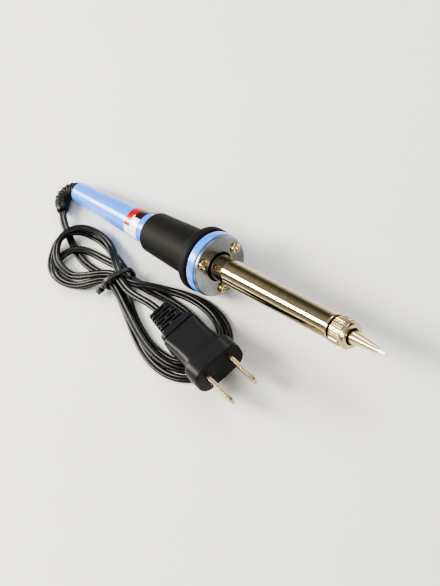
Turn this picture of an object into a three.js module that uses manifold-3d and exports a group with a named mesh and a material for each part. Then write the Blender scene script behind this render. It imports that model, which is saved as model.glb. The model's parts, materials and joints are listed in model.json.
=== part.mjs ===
// A pencil-type mains soldering iron lying on a bench, with its two-core lead folded into a hank.
// Millimetres, +Z up. The bench is z = 0. +X runs along the iron towards its tip.
// The iron is drawn in its own group, along its own +X axis, with x = 0 at the handle's front face.
import * as THREE from 'three';
import { mergeVertices } from 'three/addons/utils/BufferGeometryUtils.js';
import Module from 'manifold-3d';

const wasm = await Module();
wasm.setup();

// ---- Driving dimensions ----------------------------------------------------------------------

// Fits
const seatGap = 0.3; // between faces that touch on the real object
const sleeveGap = 0.25; // all round between nested sleeves
const runningGap = 0.3; // all round between the tip and what it slides through

// Handle
const handleLength = 100;
const handleRearRadius = 4.6;
const handleTaper = 0.0535; // radius gained per millimetre towards the front
const handleWall = 1.6;
const rearWall = 2.6;
const flangeDepth = 5.5;
const flangeBorder = 0.5; // blue ring seen round the plate
const recessDepth = 2.6;

// Rubber grip
const gripLength = 37.2;
const gripWall = 1.35;
const rimProud = 0.4; // past the handle's flange
const rimDepth = 3.9;
const gripFlare = 4.2;

// Label
const labelFront = -47.5;
const labelWidth = 9;
const labelThickness = 0.3;
const labelFrom = -20; // degrees round the handle
const labelTo = 172;

// Flange plate and its screws
const plateBorder = 0.8; // past the screw heads
const plateThickness = 1.2;
const screwCount = 3;
const screwWall = 0.2; // between the recess and the screw holes
const screwTurn = 4; // degrees, the first screw's place on the circle
const screwRadius = 1.4;
const screwLength = 6; // under the head
const screwHeadRadius = 2.5;
const screwHeadHeight = 1.7;
const driveWidth = 0.75;
const driveSpan = 2.7;
const driveDepth = 1.1;

// Barrel
const barrelWall = 0.5;
const barrelReach = 73; // visible length, from the plate's front face
const barrelFlangeWidth = 2.4;
const barrelFlangeThickness = 0.8;

// Threaded end and nut
const threadWall = 1.3;
const threadLength = 5.6;
const threadPitch = 0.75;
const threadDepth = 0.3;
const bushLength = 9;
const nutGap = 0.9;
const nutLength = 8.8;
const nutSkirt = 1.25;
const nutWall = 1.4;
const nutMouthGap = 0.7; // seen all round the tip
const knurlLength = 5.9;
const knurlTeeth = 36;
const knurlDepth = 0.35;

// Soldering tip and its collet
const tipShaftRadius = 3;
const tipShaftLength = 52; // behind the nut's front face
const tipReach = 20.4; // past the nut's front face
const tipNeck = 1.2; // straight part past the nut
const tipPointRadius = 0.45;
const colletSlot = 0.8;

// Heater
const heaterWall = 0.6;
const heaterLength = 40;
const windingThickness = 0.4;
const windingLength = 32;
const windingTurns = 8;
const micaThickness = 0.35;
const micaOverhang = 2; // past each end of the heater

// Wires inside the handle
const leadRadius = 0.8;
const leadSpread = 2.4;
const coreRadius = 0.75;
const crimpX = -34;
const crimpLength = 8;
const crimpRadius = 1.45;
const coreEndX = -74;

// Lead: two round cores side by side in one sheath
const cordWidth = 3.6;
const cordThickness = 2.0;

// Strain relief boot
const bootBulbLip = 0.45;
const bootBulbLength = 3.2;
const bootRadius = 3.6;
const bootEndRadius = 2.7;
const bootRibs = 6;
const bootRibDepth = 0.45;
const bootBendRadius = 4.6;
const bootBendAngle = 138; // degrees
const bootTail = 6;

// Plug
const plugX = 31.9; // middle of its front face
const plugY = -37.5;
const plugHeading = -9.2; // degrees from +X
const plugRest = 4.6; // height of its underside, on the lead's strands
const plugThickness = 14;
const plugWidth = 24.5;
const plugWaist = 18.4;
const plugFrontDepth = 8;
const plugBodyLength = 27.5;
const plugCollarLength = 4;
const plugCollarWidth = 16.4;
const plugCollarThickness = 10.6;
const plugReliefLength = 13.7;
const plugReliefWidth = 13;
const plugReliefEndWidth = 10;
const plugReliefThickness = 8;
const plugSlots = 6;
const bladePitch = 12.7;
const bladeWidth = 6.35;
const bladeThickness = 1.5;
const bladeReach = 17;
const bladeRoot = 6;
const bladeHoleRadius = 1.6;
const bladeHoleFromEnd = 4;

// Hank of folded lead
const tieX = -47;
const tieY = -25;
const tieTurn = -30; // the hank is pinched at this angle to the iron
const tieWidth = 3.6;
const tieThickness = 0.9;
const hankPinch = 9.2; // half its width inside the tie
const hankTieTop = 8.6;
const hankLoopTop = 8.6;
const hankUnderPlug = 4.2;
const rearLoopX = -76.5;
const rearLoopY = -26;
const rearLoopRadius = 13.5;
const frontLoopX = 5;
const frontLoopY = -31.5;
const frontLoopRadius = 18;

// Lead from the boot to the hank, and from the hank to the plug
const leadRoute = [
  [-100.7, -12.23, 4.51],
  [-98, -14.6, 4.3],
  [-95.3, -16.6, 3.6],
  [-92.6, -17.9, 3.1],
  [-90.2, -18.8, 2.9],
];
const tailRoute = [
  [-38, -29, 7.9],
  [-32.5, -29.4, 8.7],
  [-26, -29.2, 10.2],
  [-19, -29.3, 11.3],
  [-13.05, -30.2, 11.6],
];

// Facets
const roundFacets = 32;
const sleeveFacets = 20;
const smallFacets = 16;

// ---- Helpers ---------------------------------------------------------------------------------

const degrees = THREE.MathUtils.degToRad;

/** A closed mesh with shared vertices, no empty triangles and its faces pointing out. */
function weld(geometry) {
  const bare = geometry.clone();
  for (const name of Object.keys(bare.attributes)) {
    if (name !== 'position') bare.deleteAttribute(name);
  }
  const merged = mergeVertices(bare, 1e-4);
  const index = merged.index.array;
  const at = (i) => new THREE.Vector3().fromBufferAttribute(merged.attributes.position, i);
  const kept = [];
  let volume = 0;
  for (let i = 0; i < index.length; i += 3) {
    const [a, b, c] = [index[i], index[i + 1], index[i + 2]];
    if (a === b || b === c || c === a) continue;
    volume += at(a).dot(at(b).cross(at(c)));
    kept.push(a, b, c);
  }
  if (volume < 0) kept.reverse();
  merged.setIndex(kept);
  return merged;
}

function solid(geometry) {
  const welded = weld(geometry);
  const mesh = new wasm.Mesh({
    numProp: 3,
    vertProperties: new Float32Array(welded.attributes.position.array),
    triVerts: new Uint32Array(welded.index.array),
  });
  return new wasm.Manifold(mesh);
}

function surface(body) {
  const mesh = body.getMesh();
  const geometry = new THREE.BufferGeometry();
  geometry.setAttribute('position', new THREE.BufferAttribute(mesh.vertProperties, 3));
  geometry.setIndex(new THREE.BufferAttribute(mesh.triVerts, 1));
  return geometry;
}

const join = (...parts) => surface(parts.map(solid).reduce((a, b) => a.add(b)));
const cut = (from, ...tools) => surface(tools.map(solid).reduce((a, b) => a.subtract(b), solid(from)));
const common = (a, b) => surface(solid(a).intersect(solid(b)));

/** Points of an arc as [x, r] pairs, angles in degrees. */
function arc(x, r, radius, from, to, steps = 6) {
  return Array.from({ length: steps + 1 }, (_, i) => {
    const angle = degrees(from + ((to - from) * i) / steps);
    return [x + radius * Math.cos(angle), r + radius * Math.sin(angle)];
  });
}

/** A turned body about +X from [x, r] pairs; an outline that doesn't touch the axis is closed. */
function turned(outline, facets = roundFacets) {
  const ring = outline[0][1] > 0 ? [...outline, outline[0]] : outline;
  const profile = ring.map(([x, r]) => new THREE.Vector2(r, x));
  return new THREE.LatheGeometry(profile, facets).rotateZ(-Math.PI / 2);
}

const sleeve = (from, to, inner, outer, facets) =>
  turned([[from, inner], [to, inner], [to, outer], [from, outer]], facets);

function box(lengthX, widthY, heightZ, x = 0, y = 0, z = 0) {
  return new THREE.BoxGeometry(lengthX, widthY, heightZ).translate(x, y, z);
}

/** An oval section, flat side up: the outline of a two-core lead. */
function ovalSection(width, thickness, sides = 8) {
  return new THREE.Shape(
    Array.from({ length: sides }, (_, i) => {
      const angle = ((i + 0.5) / sides) * 2 * Math.PI;
      return new THREE.Vector2((thickness / 2) * Math.cos(angle), (width / 2) * Math.sin(angle));
    }),
  );
}

function alongRoute(section, points, steps) {
  const route = new THREE.CatmullRomCurve3(points.map((p) => new THREE.Vector3(...p)));
  return new THREE.ExtrudeGeometry(section, { extrudePath: route, steps, bevelEnabled: false });
}

const roundWire = (radius) => ovalSection(2 * radius, 2 * radius, 8);

/** A plan outline, drawn in X and Y, made thick along Z with its edges rounded off. */
function slab(outline, thickness, bevel = 0) {
  const shape = new THREE.Shape(outline.map(([x, y]) => new THREE.Vector2(x, y)));
  const geometry = new THREE.ExtrudeGeometry(shape, {
    depth: thickness - 2 * bevel,
    bevelEnabled: bevel > 0,
    bevelThickness: bevel,
    bevelSize: bevel,
    bevelOffset: -bevel,
    bevelSegments: 3,
    curveSegments: 6,
  });
  return geometry.translate(0, 0, bevel - thickness / 2);
}

const finishes = {
  blueShell: new THREE.MeshStandardMaterial({ color: 0x7fb0f5, roughness: 0.22, metalness: 0 }),
  blackRubber: new THREE.MeshStandardMaterial({ color: 0x17181a, roughness: 0.7, metalness: 0 }),
  label: new THREE.MeshStandardMaterial({ color: 0xb8242a, roughness: 0.35, metalness: 0 }),
  steel: new THREE.MeshStandardMaterial({ color: 0xb9b6b0, roughness: 0.25, metalness: 1 }),
  chrome: new THREE.MeshStandardMaterial({ color: 0xd8d2c6, roughness: 0.12, metalness: 1 }),
  brass: new THREE.MeshStandardMaterial({ color: 0xc8a45a, roughness: 0.25, metalness: 1 }),
  tip: new THREE.MeshStandardMaterial({ color: 0xc9b79a, roughness: 0.25, metalness: 1 }),
  ceramic: new THREE.MeshStandardMaterial({ color: 0xe8e2d4, roughness: 0.6, metalness: 0 }),
  mica: new THREE.MeshStandardMaterial({ color: 0xb7a98a, roughness: 0.5, metalness: 0 }),
  fibre: new THREE.MeshStandardMaterial({ color: 0x8a4b32, roughness: 0.8, metalness: 0 }),
  blackVinyl: new THREE.MeshStandardMaterial({ color: 0x121213, roughness: 0.35, metalness: 0 }),
};

function node(name, geometry, material) {
  const mesh = new THREE.Mesh(weld(geometry), material);
  mesh.name = name;
  return mesh;
}

// ---- Places along the iron, worked out from the dimensions -----------------------------------

const handleRadiusAt = (x) => handleRearRadius + (x + handleLength) * handleTaper;
const gripFront = -flangeDepth - seatGap;
const gripRear = gripFront - gripLength;
const plateRear = seatGap;
const plateFront = plateRear + plateThickness;

// Radii from the tip's shaft outwards, each piece clear of the one inside it
const tipBore = tipShaftRadius + runningGap;
const heaterRadius = tipBore + heaterWall;
const windingInner = heaterRadius + sleeveGap;
const windingOuter = windingInner + windingThickness;
const micaInner = windingOuter + sleeveGap;
const barrelInner = micaInner + micaThickness + sleeveGap;
const barrelRadius = barrelInner + barrelWall;
const barrelFlangeRadius = barrelRadius + barrelFlangeWidth;
const frontBore = barrelRadius + seatGap;
const recessRadius = barrelFlangeRadius + seatGap;
const screwCircle = recessRadius + screwWall + screwRadius + seatGap;
const plateRadius = screwCircle + screwHeadRadius + plateBorder;
const flangeRadius = plateRadius + flangeBorder;
const rimRadius = flangeRadius + rimProud;

// Lengths from the plate to the nut
const barrelFront = plateFront + barrelReach;
const bushRadius = barrelInner - sleeveGap;
const bushRear = barrelFront - bushLength;
const heaterFront = bushRear - micaOverhang - 2 * seatGap;
const heaterRear = heaterFront - heaterLength;
const threadRadius = tipBore + threadWall;
const threadFront = barrelFront + threadLength;
const nutRear = barrelFront + nutGap;
const nutFront = nutRear + nutLength;
const nutThread = threadRadius + runningGap;
const nutRadius = nutThread + nutSkirt;
const nutMouth = tipShaftRadius + nutMouthGap;

const screwSeat = plateFront + seatGap;
const screwEnd = screwSeat - screwLength;

// The boot's bulb fills the handle's rear end, and its neck passes through the rear wall
const cavityRear = -handleLength + rearWall;
const bootBulbRadius = handleRadiusAt(cavityRear) - handleWall - seatGap;
const bootNeckRadius = bootBulbRadius - bootBulbLip;
const rearHole = bootNeckRadius + seatGap;

// ---- Handle ----------------------------------------------------------------------------------

function handleShell() {
  const edge = 1.4;
  const rear = -handleLength;
  const underFlange = handleRadiusAt(-flangeDepth);
  const shell = turned([
    [rear, rearHole],
    ...arc(rear + edge, handleRearRadius - edge, edge, 180, 95, 5),
    [-flangeDepth, underFlange],
    [-flangeDepth, flangeRadius - 0.4],
    [-flangeDepth + 0.4, flangeRadius],
    [-0.5, flangeRadius],
    [0, flangeRadius - 0.5],
    [0, recessRadius],
    [-recessDepth, recessRadius],
    [-recessDepth, frontBore],
    [-flangeDepth - 8, frontBore],
    [gripRear, handleRadiusAt(gripRear) - handleWall],
    [cavityRear, handleRadiusAt(cavityRear) - handleWall],
    [cavityRear, rearHole],
  ]);
  return cut(shell, ...screwHoles(screwEnd - 0.5, plateRear));
}

function screwPlaces() {
  return Array.from({ length: screwCount }, (_, i) => {
    const angle = degrees(screwTurn + (i * 360) / screwCount);
    return [screwCircle * Math.cos(angle), screwCircle * Math.sin(angle)];
  });
}

/** Clearance holes for the flange screws, from one x to another. */
function screwHoles(from, to) {
  const radius = screwRadius + seatGap;
  return screwPlaces().map(([y, z]) => {
    const hole = new THREE.CylinderGeometry(radius, radius, to - from, 12);
    return hole.rotateZ(-Math.PI / 2).translate((from + to) / 2, y, z);
  });
}

function gripSleeve() {
  const inner = (x) => handleRadiusAt(x) + seatGap;
  const outer = (x) => inner(x) + gripWall;
  const rimRear = gripFront - rimDepth;
  const flareRear = rimRear - gripFlare;
  const bead = rimDepth / 2;
  const edge = 1.1;
  const flare = Array.from({ length: 6 }, (_, i) => {
    const t = i / 5;
    const rise = rimRadius - bead * 0.8 - outer(flareRear);
    return [flareRear + (rimRear - flareRear) * t, outer(flareRear) + rise * t ** 2.4];
  });
  return turned([
    [gripRear, inner(gripRear)],
    ...arc(gripRear + edge, outer(gripRear) - edge, edge, 180, 95, 5),
    ...flare,
    ...arc(rimRear + bead, rimRadius - bead, bead, 150, 0, 6),
    [gripFront, inner(gripFront)],
  ]);
}

/** A thin curved patch that lies round the handle. */
function labelSticker() {
  const facets = 28;
  const rear = labelFront - labelWidth;
  const under = (x) => handleRadiusAt(x) + 0.12;
  const sweep = degrees(labelTo - labelFrom);
  const profile = [
    [rear, under(rear)],
    [labelFront, under(labelFront)],
    [labelFront, under(labelFront) + labelThickness],
    [rear, under(rear) + labelThickness],
  ];
  const ring = turned(profile, 56);
  const wedge = new THREE.Shape();
  wedge.moveTo(0, 0);
  wedge.absarc(0, 0, 3 * flangeRadius, degrees(labelFrom), degrees(labelFrom) + sweep, false);
  wedge.lineTo(0, 0);
  const span = new THREE.ExtrudeGeometry(wedge, {
    depth: 2 * labelWidth,
    bevelEnabled: false,
    curveSegments: facets,
  });
  // Drawn in X and Y, then stood up so that it spans angles from +Y towards +Z round the axis.
  span.applyMatrix4(new THREE.Matrix4().makeBasis(
    new THREE.Vector3(0, 1, 0),
    new THREE.Vector3(0, 0, 1),
    new THREE.Vector3(1, 0, 0),
  ));
  return common(ring, span.translate(rear - labelWidth / 2, 0, 0));
}

// ---- Flange plate and screws -----------------------------------------------------------------

function flangePlate() {
  const edge = 0.25;
  const disc = turned([
    [plateRear, barrelRadius + 2 * seatGap],
    [plateRear, plateRadius],
    [plateFront - edge, plateRadius],
    [plateFront, plateRadius - edge],
    [plateFront, barrelRadius + 2 * seatGap],
  ]);
  return cut(disc, ...screwHoles(plateRear - 1, plateFront + 1));
}

/** A pan-head screw with a cross recess, its seat at x = 0 and its shank towards -X. */
function flangeScrew() {
  const body = turned([
    [-screwLength, 0],
    [-screwLength, screwRadius * 0.6],
    [-screwLength + 0.8, screwRadius],
    [0, screwRadius],
    [0, screwHeadRadius],
    [screwHeadHeight * 0.45, screwHeadRadius],
    ...arc(screwHeadHeight * 0.45, screwHeadRadius * 0.62, screwHeadHeight * 0.55, 80, 10, 4)
      .map(([x, r]) => [x, Math.min(r + 0.1, screwHeadRadius - 0.02)]),
    [screwHeadHeight, 0],
  ], smallFacets);
  const slot = box(2 * driveDepth, driveSpan, driveWidth, screwHeadHeight, 0, 0);
  const across = box(2 * driveDepth, driveWidth, driveSpan, screwHeadHeight, 0, 0);
  return cut(body, slot, across);
}

// ---- Barrel ----------------------------------------------------------------------------------

function fibreWasher() {
  const rear = -recessDepth + seatGap;
  const front = -barrelFlangeThickness - 2 * seatGap;
  return sleeve(rear, front, frontBore + 0.1, recessRadius - seatGap, sleeveFacets);
}

function barrelTube() {
  const flangeFront = -seatGap / 2;
  const flangeRear = flangeFront - barrelFlangeThickness;
  const lip = 0.25;
  return turned([
    [flangeRear, barrelInner],
    [barrelFront, barrelInner],
    [barrelFront, barrelRadius - lip],
    [barrelFront - lip, barrelRadius],
    [flangeFront + 0.6, barrelRadius],
    [flangeFront, barrelRadius + 0.5],
    [flangeFront, barrelFlangeRadius],
    [flangeRear, barrelFlangeRadius],
  ]);
}

function barrelBush() {
  const threads = [];
  const turns = Math.floor((threadLength - 0.8) / threadPitch);
  for (let i = 0; i < turns; i += 1) {
    const x = threadFront - 0.4 - i * threadPitch;
    threads.push([x, threadRadius - threadDepth], [x - threadPitch / 2, threadRadius]);
  }
  return turned([
    [bushRear, tipBore],
    [threadFront, tipBore],
    [threadFront, threadRadius - threadDepth],
    ...threads,
    [barrelFront - 0.4, threadRadius - threadDepth],
    [barrelFront - 0.4, bushRadius],
    [bushRear, bushRadius],
  ], sleeveFacets);
}

// ---- Heater ----------------------------------------------------------------------------------

function heaterFormer() {
  const collar = 1.2;
  const front = heaterFront;
  const collarRadius = windingOuter - 0.05;
  return turned([
    [heaterRear, tipBore],
    [front, tipBore],
    [front, collarRadius],
    [front - collar, collarRadius],
    [front - collar, heaterRadius],
    [heaterRear + collar, heaterRadius],
    [heaterRear + collar, collarRadius],
    [heaterRear, collarRadius],
  ], sleeveFacets);
}

function heaterWinding() {
  const rear = heaterRear + (heaterLength - windingLength) / 2;
  const pitch = windingLength / windingTurns;
  const ribs = [];
  for (let i = windingTurns - 1; i >= 0; i -= 1) {
    const x = rear + i * pitch;
    ribs.push(
      [x + pitch, windingOuter - 0.25],
      [x + pitch * 0.75, windingOuter],
      [x + pitch * 0.25, windingOuter],
    );
  }
  return turned([
    [rear, windingInner],
    [rear + windingLength, windingInner],
    ...ribs,
    [rear, windingOuter - 0.25],
  ], sleeveFacets);
}

function micaSleeve() {
  const rear = heaterRear - micaOverhang;
  const front = heaterFront + micaOverhang;
  return sleeve(rear, front, micaInner, micaInner + micaThickness, sleeveFacets);
}

// ---- Wires inside the handle -----------------------------------------------------------------

function heaterLead(side) {
  const front = heaterRear - seatGap;
  const rear = crimpX + 0.2;
  return alongRoute(roundWire(leadRadius), [
    [front, side * tipBore, 0],
    [front / 2, side * (tipBore - 0.2), 0],
    [-recessDepth, side * leadSpread, 0],
    [rear / 2, side * leadSpread, 0],
    [rear, side * leadSpread, 0],
  ], 10);
}

function crimpSleeve(side) {
  const bore = leadRadius + 0.2;
  const ring = sleeve(-crimpLength / 2, crimpLength / 2, bore, crimpRadius, smallFacets);
  return ring.translate(crimpX, side * leadSpread, 0);
}

function coreWire(side) {
  const front = crimpX - 0.2;
  return alongRoute(roundWire(coreRadius), [
    [front, side * leadSpread, 0],
    [front - crimpLength, side * leadSpread, 0],
    [(front + coreEndX) / 2, side * (leadSpread - 0.4), 0],
    [coreEndX + 6, side * 1.2, 0],
    [coreEndX, side * 1.05, 0],
  ], 12);
}

const bootInnerEnd = cavityRear + seatGap + bootBulbLength;

function innerCord() {
  const points = [
    [coreEndX - seatGap, 0, 0],
    [(coreEndX + bootInnerEnd) / 2, 0, 0],
    [bootInnerEnd + seatGap, 0, 0],
  ];
  return alongRoute(ovalSection(cordWidth, cordThickness), points, 6);
}

function cordClip() {
  const width = 4;
  const x = (coreEndX + bootInnerEnd) / 2;
  const room = handleRadiusAt(x - width / 2) - handleWall - seatGap;
  return sleeve(x - width / 2, x + width / 2, cordWidth / 2 + seatGap, room, smallFacets);
}

// ---- Strain relief boot ----------------------------------------------------------------------

/** The boot's middle line: straight out of the handle, round its bend, then straight again. */
function bootLine() {
  const bendStart = -handleLength - 0.8;
  const line = new THREE.CurvePath();
  const start = new THREE.Vector3(bootInnerEnd, 0, 0);
  const corner = new THREE.Vector3(bendStart, 0, 0);
  line.add(new THREE.LineCurve3(start, corner));
  const onBend = (angle) => new THREE.Vector3(
    bendStart - bootBendRadius * Math.sin(angle),
    -bootBendRadius * (1 - Math.cos(angle)),
    0,
  );
  const stops = 12;
  for (let i = 0; i < stops; i += 1) {
    const from = degrees((bootBendAngle * i) / stops);
    const to = degrees((bootBendAngle * (i + 1)) / stops);
    line.add(new THREE.LineCurve3(onBend(from), onBend(to)));
  }
  const turn = degrees(bootBendAngle);
  const end = onBend(turn);
  const out = new THREE.Vector3(-Math.cos(turn), -Math.sin(turn), 0);
  line.add(new THREE.LineCurve3(end, end.clone().addScaledVector(out, bootTail)));
  return line;
}

/** The turned boot, bent along its middle line. */
function strainReliefBoot() {
  const line = bootLine();
  const length = line.getLength();
  const inside = bootInnerEnd + handleLength;
  const bodyStart = inside + seatGap;
  const ribRoom = length - bodyStart - 3.5;
  const pitch = ribRoom / bootRibs;
  const taper = (s) => bootRadius + ((bootEndRadius - bootRadius) * (s - bodyStart)) / (length - bodyStart);
  const ribs = [];
  for (let i = 0; i < bootRibs; i += 1) {
    const s = bodyStart + 1.2 + i * pitch;
    ribs.push(
      [s, taper(s)],
      [s + pitch * 0.5, taper(s)],
      [s + pitch * 0.55, taper(s) - bootRibDepth],
      [s + pitch * 0.95, taper(s) - bootRibDepth],
    );
  }
  const straight = new THREE.LatheGeometry([
    [0, 0],
    [0, bootBulbRadius - 0.6],
    [0.8, bootBulbRadius],
    [bootBulbLength, bootBulbRadius],
    [bootBulbLength, bootNeckRadius],
    [bodyStart, bootNeckRadius],
    [bodyStart, bootRadius],
    ...ribs,
    [length - 2.2, taper(length) + 0.1],
    [length - 0.4, bootEndRadius - 0.1],
    [length, bootEndRadius - 0.5],
    [length, 0],
  ].map(([s, r]) => new THREE.Vector2(r, s)), smallFacets);
  const place = straight.attributes.position;
  const up = new THREE.Vector3(0, 0, 1);
  for (let i = 0; i < place.count; i += 1) {
    const share = THREE.MathUtils.clamp(place.getY(i) / length, 0, 1);
    const middle = line.getPointAt(share);
    const before = line.getPointAt(Math.max(share - 0.01, 0));
    const after = line.getPointAt(Math.min(share + 0.01, 1));
    const ahead = after.sub(before).normalize();
    const side = new THREE.Vector3().crossVectors(up, ahead);
    const point = middle.addScaledVector(side, place.getX(i)).addScaledVector(up, place.getZ(i));
    place.setXYZ(i, point.x, point.y, point.z);
  }
  return straight;
}

// ---- Nut, collet and tip ---------------------------------------------------------------------

function knurledNut() {
  const rootRadius = nutRadius - knurlDepth;
  const grooveX = nutRear + knurlLength;
  const body = turned([
    [nutRear, nutThread],
    [nutFront - nutWall, nutThread],
    [nutFront - nutWall, nutMouth],
    [nutFront, nutMouth],
    [nutFront, nutRadius - 1.1],
    [nutFront - 0.7, nutRadius - 0.3],
    [grooveX + 0.6, nutRadius - 0.2],
    [grooveX + 0.5, nutRadius - 0.7],
    [grooveX, nutRadius - 0.7],
    [grooveX, rootRadius],
    [nutRear, rootRadius],
  ]);
  const teeth = [];
  for (let i = 0; i < knurlTeeth; i += 1) {
    const at = (share, radius) => {
      const angle = ((i + share) / knurlTeeth) * 2 * Math.PI;
      return new THREE.Vector2(radius * Math.cos(angle), radius * Math.sin(angle));
    };
    teeth.push(at(0, rootRadius), at(0.3, nutRadius), at(0.6, nutRadius), at(0.9, rootRadius));
  }
  const crown = new THREE.Shape(teeth);
  const hole = new THREE.Path().absarc(0, 0, rootRadius - 0.3, 0, 2 * Math.PI, true);
  crown.holes.push(hole);
  const ring = new THREE.ExtrudeGeometry(crown, {
    depth: knurlLength - 0.4,
    bevelEnabled: false,
    curveSegments: 24,
  });
  return join(body, ring.rotateY(Math.PI / 2).translate(nutRear + 0.2, 0, 0));
}

function tipCollet() {
  const rear = threadFront + seatGap;
  const shoulder = nutFront - nutWall - seatGap;
  const ring = turned([
    [rear, tipBore],
    [shoulder - 0.4, tipBore],
    [shoulder, tipBore + 0.4],
    [shoulder, nutThread - seatGap - 0.4],
    [shoulder - 0.4, nutThread - seatGap],
    [rear, nutThread - seatGap],
  ], sleeveFacets);
  const slot = box(3 * (shoulder - rear), nutThread, colletSlot, shoulder, nutThread / 2 + 1, 0);
  return cut(ring, slot);
}

function solderingTip() {
  const rear = nutFront - tipShaftLength;
  const point = nutFront + tipReach;
  return turned([
    [rear, 0],
    [rear, tipShaftRadius - 0.5],
    [rear + 0.5, tipShaftRadius],
    [nutFront + tipNeck, tipShaftRadius],
    ...arc(point - tipPointRadius, 0, tipPointRadius, 80, 0, 4).map(([x, r]) => [x, Math.max(r, 0)]),
  ], sleeveFacets);
}

// ---- Plug ------------------------------------------------------------------------------------

/** The moulded plug, its front face at x = 0 facing +X, its middle at z = 0. */
function plugBody() {
  const half = plugWidth / 2;
  const waist = plugWaist / 2;
  const rear = -plugBodyLength;
  const shoulder = -plugFrontDepth;
  const corner = 3;
  const right = [
    [rear, waist + 0.3],
    [rear + 6, waist],
    [shoulder - 3.5, waist],
    [shoulder - 1.6, waist + 0.5],
    [shoulder, half - 1.4],
    ...arc(-corner, half - corner, corner, 115, 0, 7),
  ];
  const left = right.map(([x, y]) => [x, -y]).reverse();
  const body = slab([...left, ...right], plugThickness, 2.2);
  const collarRear = rear - plugCollarLength;
  const collar = box(
    plugCollarLength + 1, plugCollarWidth, plugCollarThickness, rear - plugCollarLength / 2 + 0.5,
  );
  const reliefRear = collarRear - plugReliefLength;
  const relief = slab([
    [reliefRear, -plugReliefEndWidth / 2],
    [collarRear + 1, -plugReliefWidth / 2],
    [collarRear + 1, plugReliefWidth / 2],
    [reliefRear, plugReliefEndWidth / 2],
  ], plugReliefThickness, 0.8);
  const pitch = plugReliefLength / (plugSlots + 0.5);
  const slots = [];
  for (let i = 0; i < plugSlots; i += 1) {
    const x = reliefRear + (i + 0.9) * pitch;
    const side = i % 2 ? 1 : -1;
    const slot = box(pitch * 0.4, plugReliefWidth * 0.6, 1.6, x, side * plugReliefWidth * 0.25);
    slots.push(slot.clone().translate(0, 0, plugReliefThickness / 2));
    slots.push(slot.translate(0, 0, -plugReliefThickness / 2));
  }
  const pockets = [1, -1].map((side) => box(
    2 * bladeRoot,
    bladeThickness + 2 * seatGap,
    bladeWidth + 2 * seatGap,
    0,
    (side * bladePitch) / 2,
  ));
  return cut(join(body, collar, relief), ...slots, ...pockets);
}

/** A flat blade with a round hole near its end and chamfered corners, along +X. */
function plugBlade() {
  const half = bladeWidth / 2;
  const chamfer = 1.3;
  const outline = new THREE.Shape([
    [-bladeRoot + seatGap, -half],
    [bladeReach - chamfer, -half],
    [bladeReach, -half + chamfer],
    [bladeReach, half - chamfer],
    [bladeReach - chamfer, half],
    [-bladeRoot + seatGap, half],
  ].map(([x, z]) => new THREE.Vector2(x, z)));
  const holeX = bladeReach - bladeHoleFromEnd;
  outline.holes.push(new THREE.Path().absarc(holeX, 0, bladeHoleRadius, 0, 2 * Math.PI, true));
  const blade = new THREE.ExtrudeGeometry(outline, {
    depth: bladeThickness,
    bevelEnabled: false,
    curveSegments: 10,
  });
  return blade.translate(0, 0, -bladeThickness / 2).rotateX(Math.PI / 2);
}

// ---- Hank and its tie ------------------------------------------------------------------------

/** The outer shape of the folded lead: two fanned loops, pinched in the tie, low under the plug. */
function hankSolid() {
  const rearEnd = arc(rearLoopX, rearLoopY, rearLoopRadius, 75, 285, 12);
  const frontEnd = arc(frontLoopX, frontLoopY, frontLoopRadius, -105, 95, 14);
  const plan = slab([
    ...rearEnd,
    acrossTie(-6, -hankPinch - 0.8),
    acrossTie(0, -hankPinch),
    acrossTie(6, -hankPinch - 0.4),
    ...frontEnd,
    acrossTie(6, hankPinch + 0.4),
    acrossTie(0, hankPinch),
    acrossTie(-6, hankPinch + 0.4),
  ], 4 * hankTieTop);
  const rear = rearLoopX - rearLoopRadius - 1;
  const front = frontLoopX + frontLoopRadius + 1;
  const stepX = tailRoute[0][0] - seatGap - cordWidth;
  const underTail = tailRoute[0][2] - cordThickness / 2 - seatGap;
  const side = slab([
    [rear, 0],
    [front, 0],
    [front, hankUnderPlug],
    [-15, hankUnderPlug],
    [-24, underTail - 1],
    [stepX, underTail - 1],
    [stepX, hankTieTop],
    [tieX - 18, hankLoopTop],
    [rear, hankLoopTop],
  ], 200);
  const pile = common(plan, side.rotateX(Math.PI / 2));
  const underTie = tieThickness + 2 * seatGap;
  const aside = box(tieWidth + 2 * seatGap, 60, 60);
  const kept = box(60, 2 * hankPinch, hankTieTop - underTie);
  const notch = cut(aside, kept.translate(0, 0, (hankTieTop + underTie) / 2));
  notch.rotateZ(degrees(tieTurn)).translate(tieX, tieY, 0);
  return cut(pile, notch);
}

/** A point along and across the hank, from the middle of the tie. */
function acrossTie(along, across) {
  const c = Math.cos(degrees(tieTurn));
  const s = Math.sin(degrees(tieTurn));
  return [tieX + along * c - across * s, tieY + along * s + across * c];
}

function hankTie() {
  const low = seatGap;
  const inside = tieThickness + seatGap / 2;
  const top = hankTieTop + seatGap + tieThickness;
  const half = hankPinch + seatGap + tieThickness;
  const height = top - low;
  const middle = (top + low) / 2;
  const round = slab([
    ...arc(half - 2, height / 2 - 2, 2, 0, 90, 4),
    ...arc(-half + 2, height / 2 - 2, 2, 90, 180, 4),
    ...arc(-half + 2, -height / 2 + 2, 2, 180, 270, 4),
    ...arc(half - 2, -height / 2 + 2, 2, 270, 360, 4),
  ], tieWidth);
  const bore = box(2 * (half - tieThickness), height - 2 * inside + seatGap, 2 * tieWidth);
  const ring = cut(round, bore);
  // Stood up so that it goes round the hank, whose strands run along X, and then turned with it.
  ring.applyMatrix4(new THREE.Matrix4().makeBasis(
    new THREE.Vector3(0, 1, 0),
    new THREE.Vector3(0, 0, 1),
    new THREE.Vector3(1, 0, 0),
  ));
  return ring.rotateZ(degrees(tieTurn)).translate(tieX, tieY, middle);
}

function freeCord(points) {
  return alongRoute(ovalSection(cordWidth, cordThickness), points, 8);
}

// ---- Assembly --------------------------------------------------------------------------------

const iron = new THREE.Group();

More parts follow.
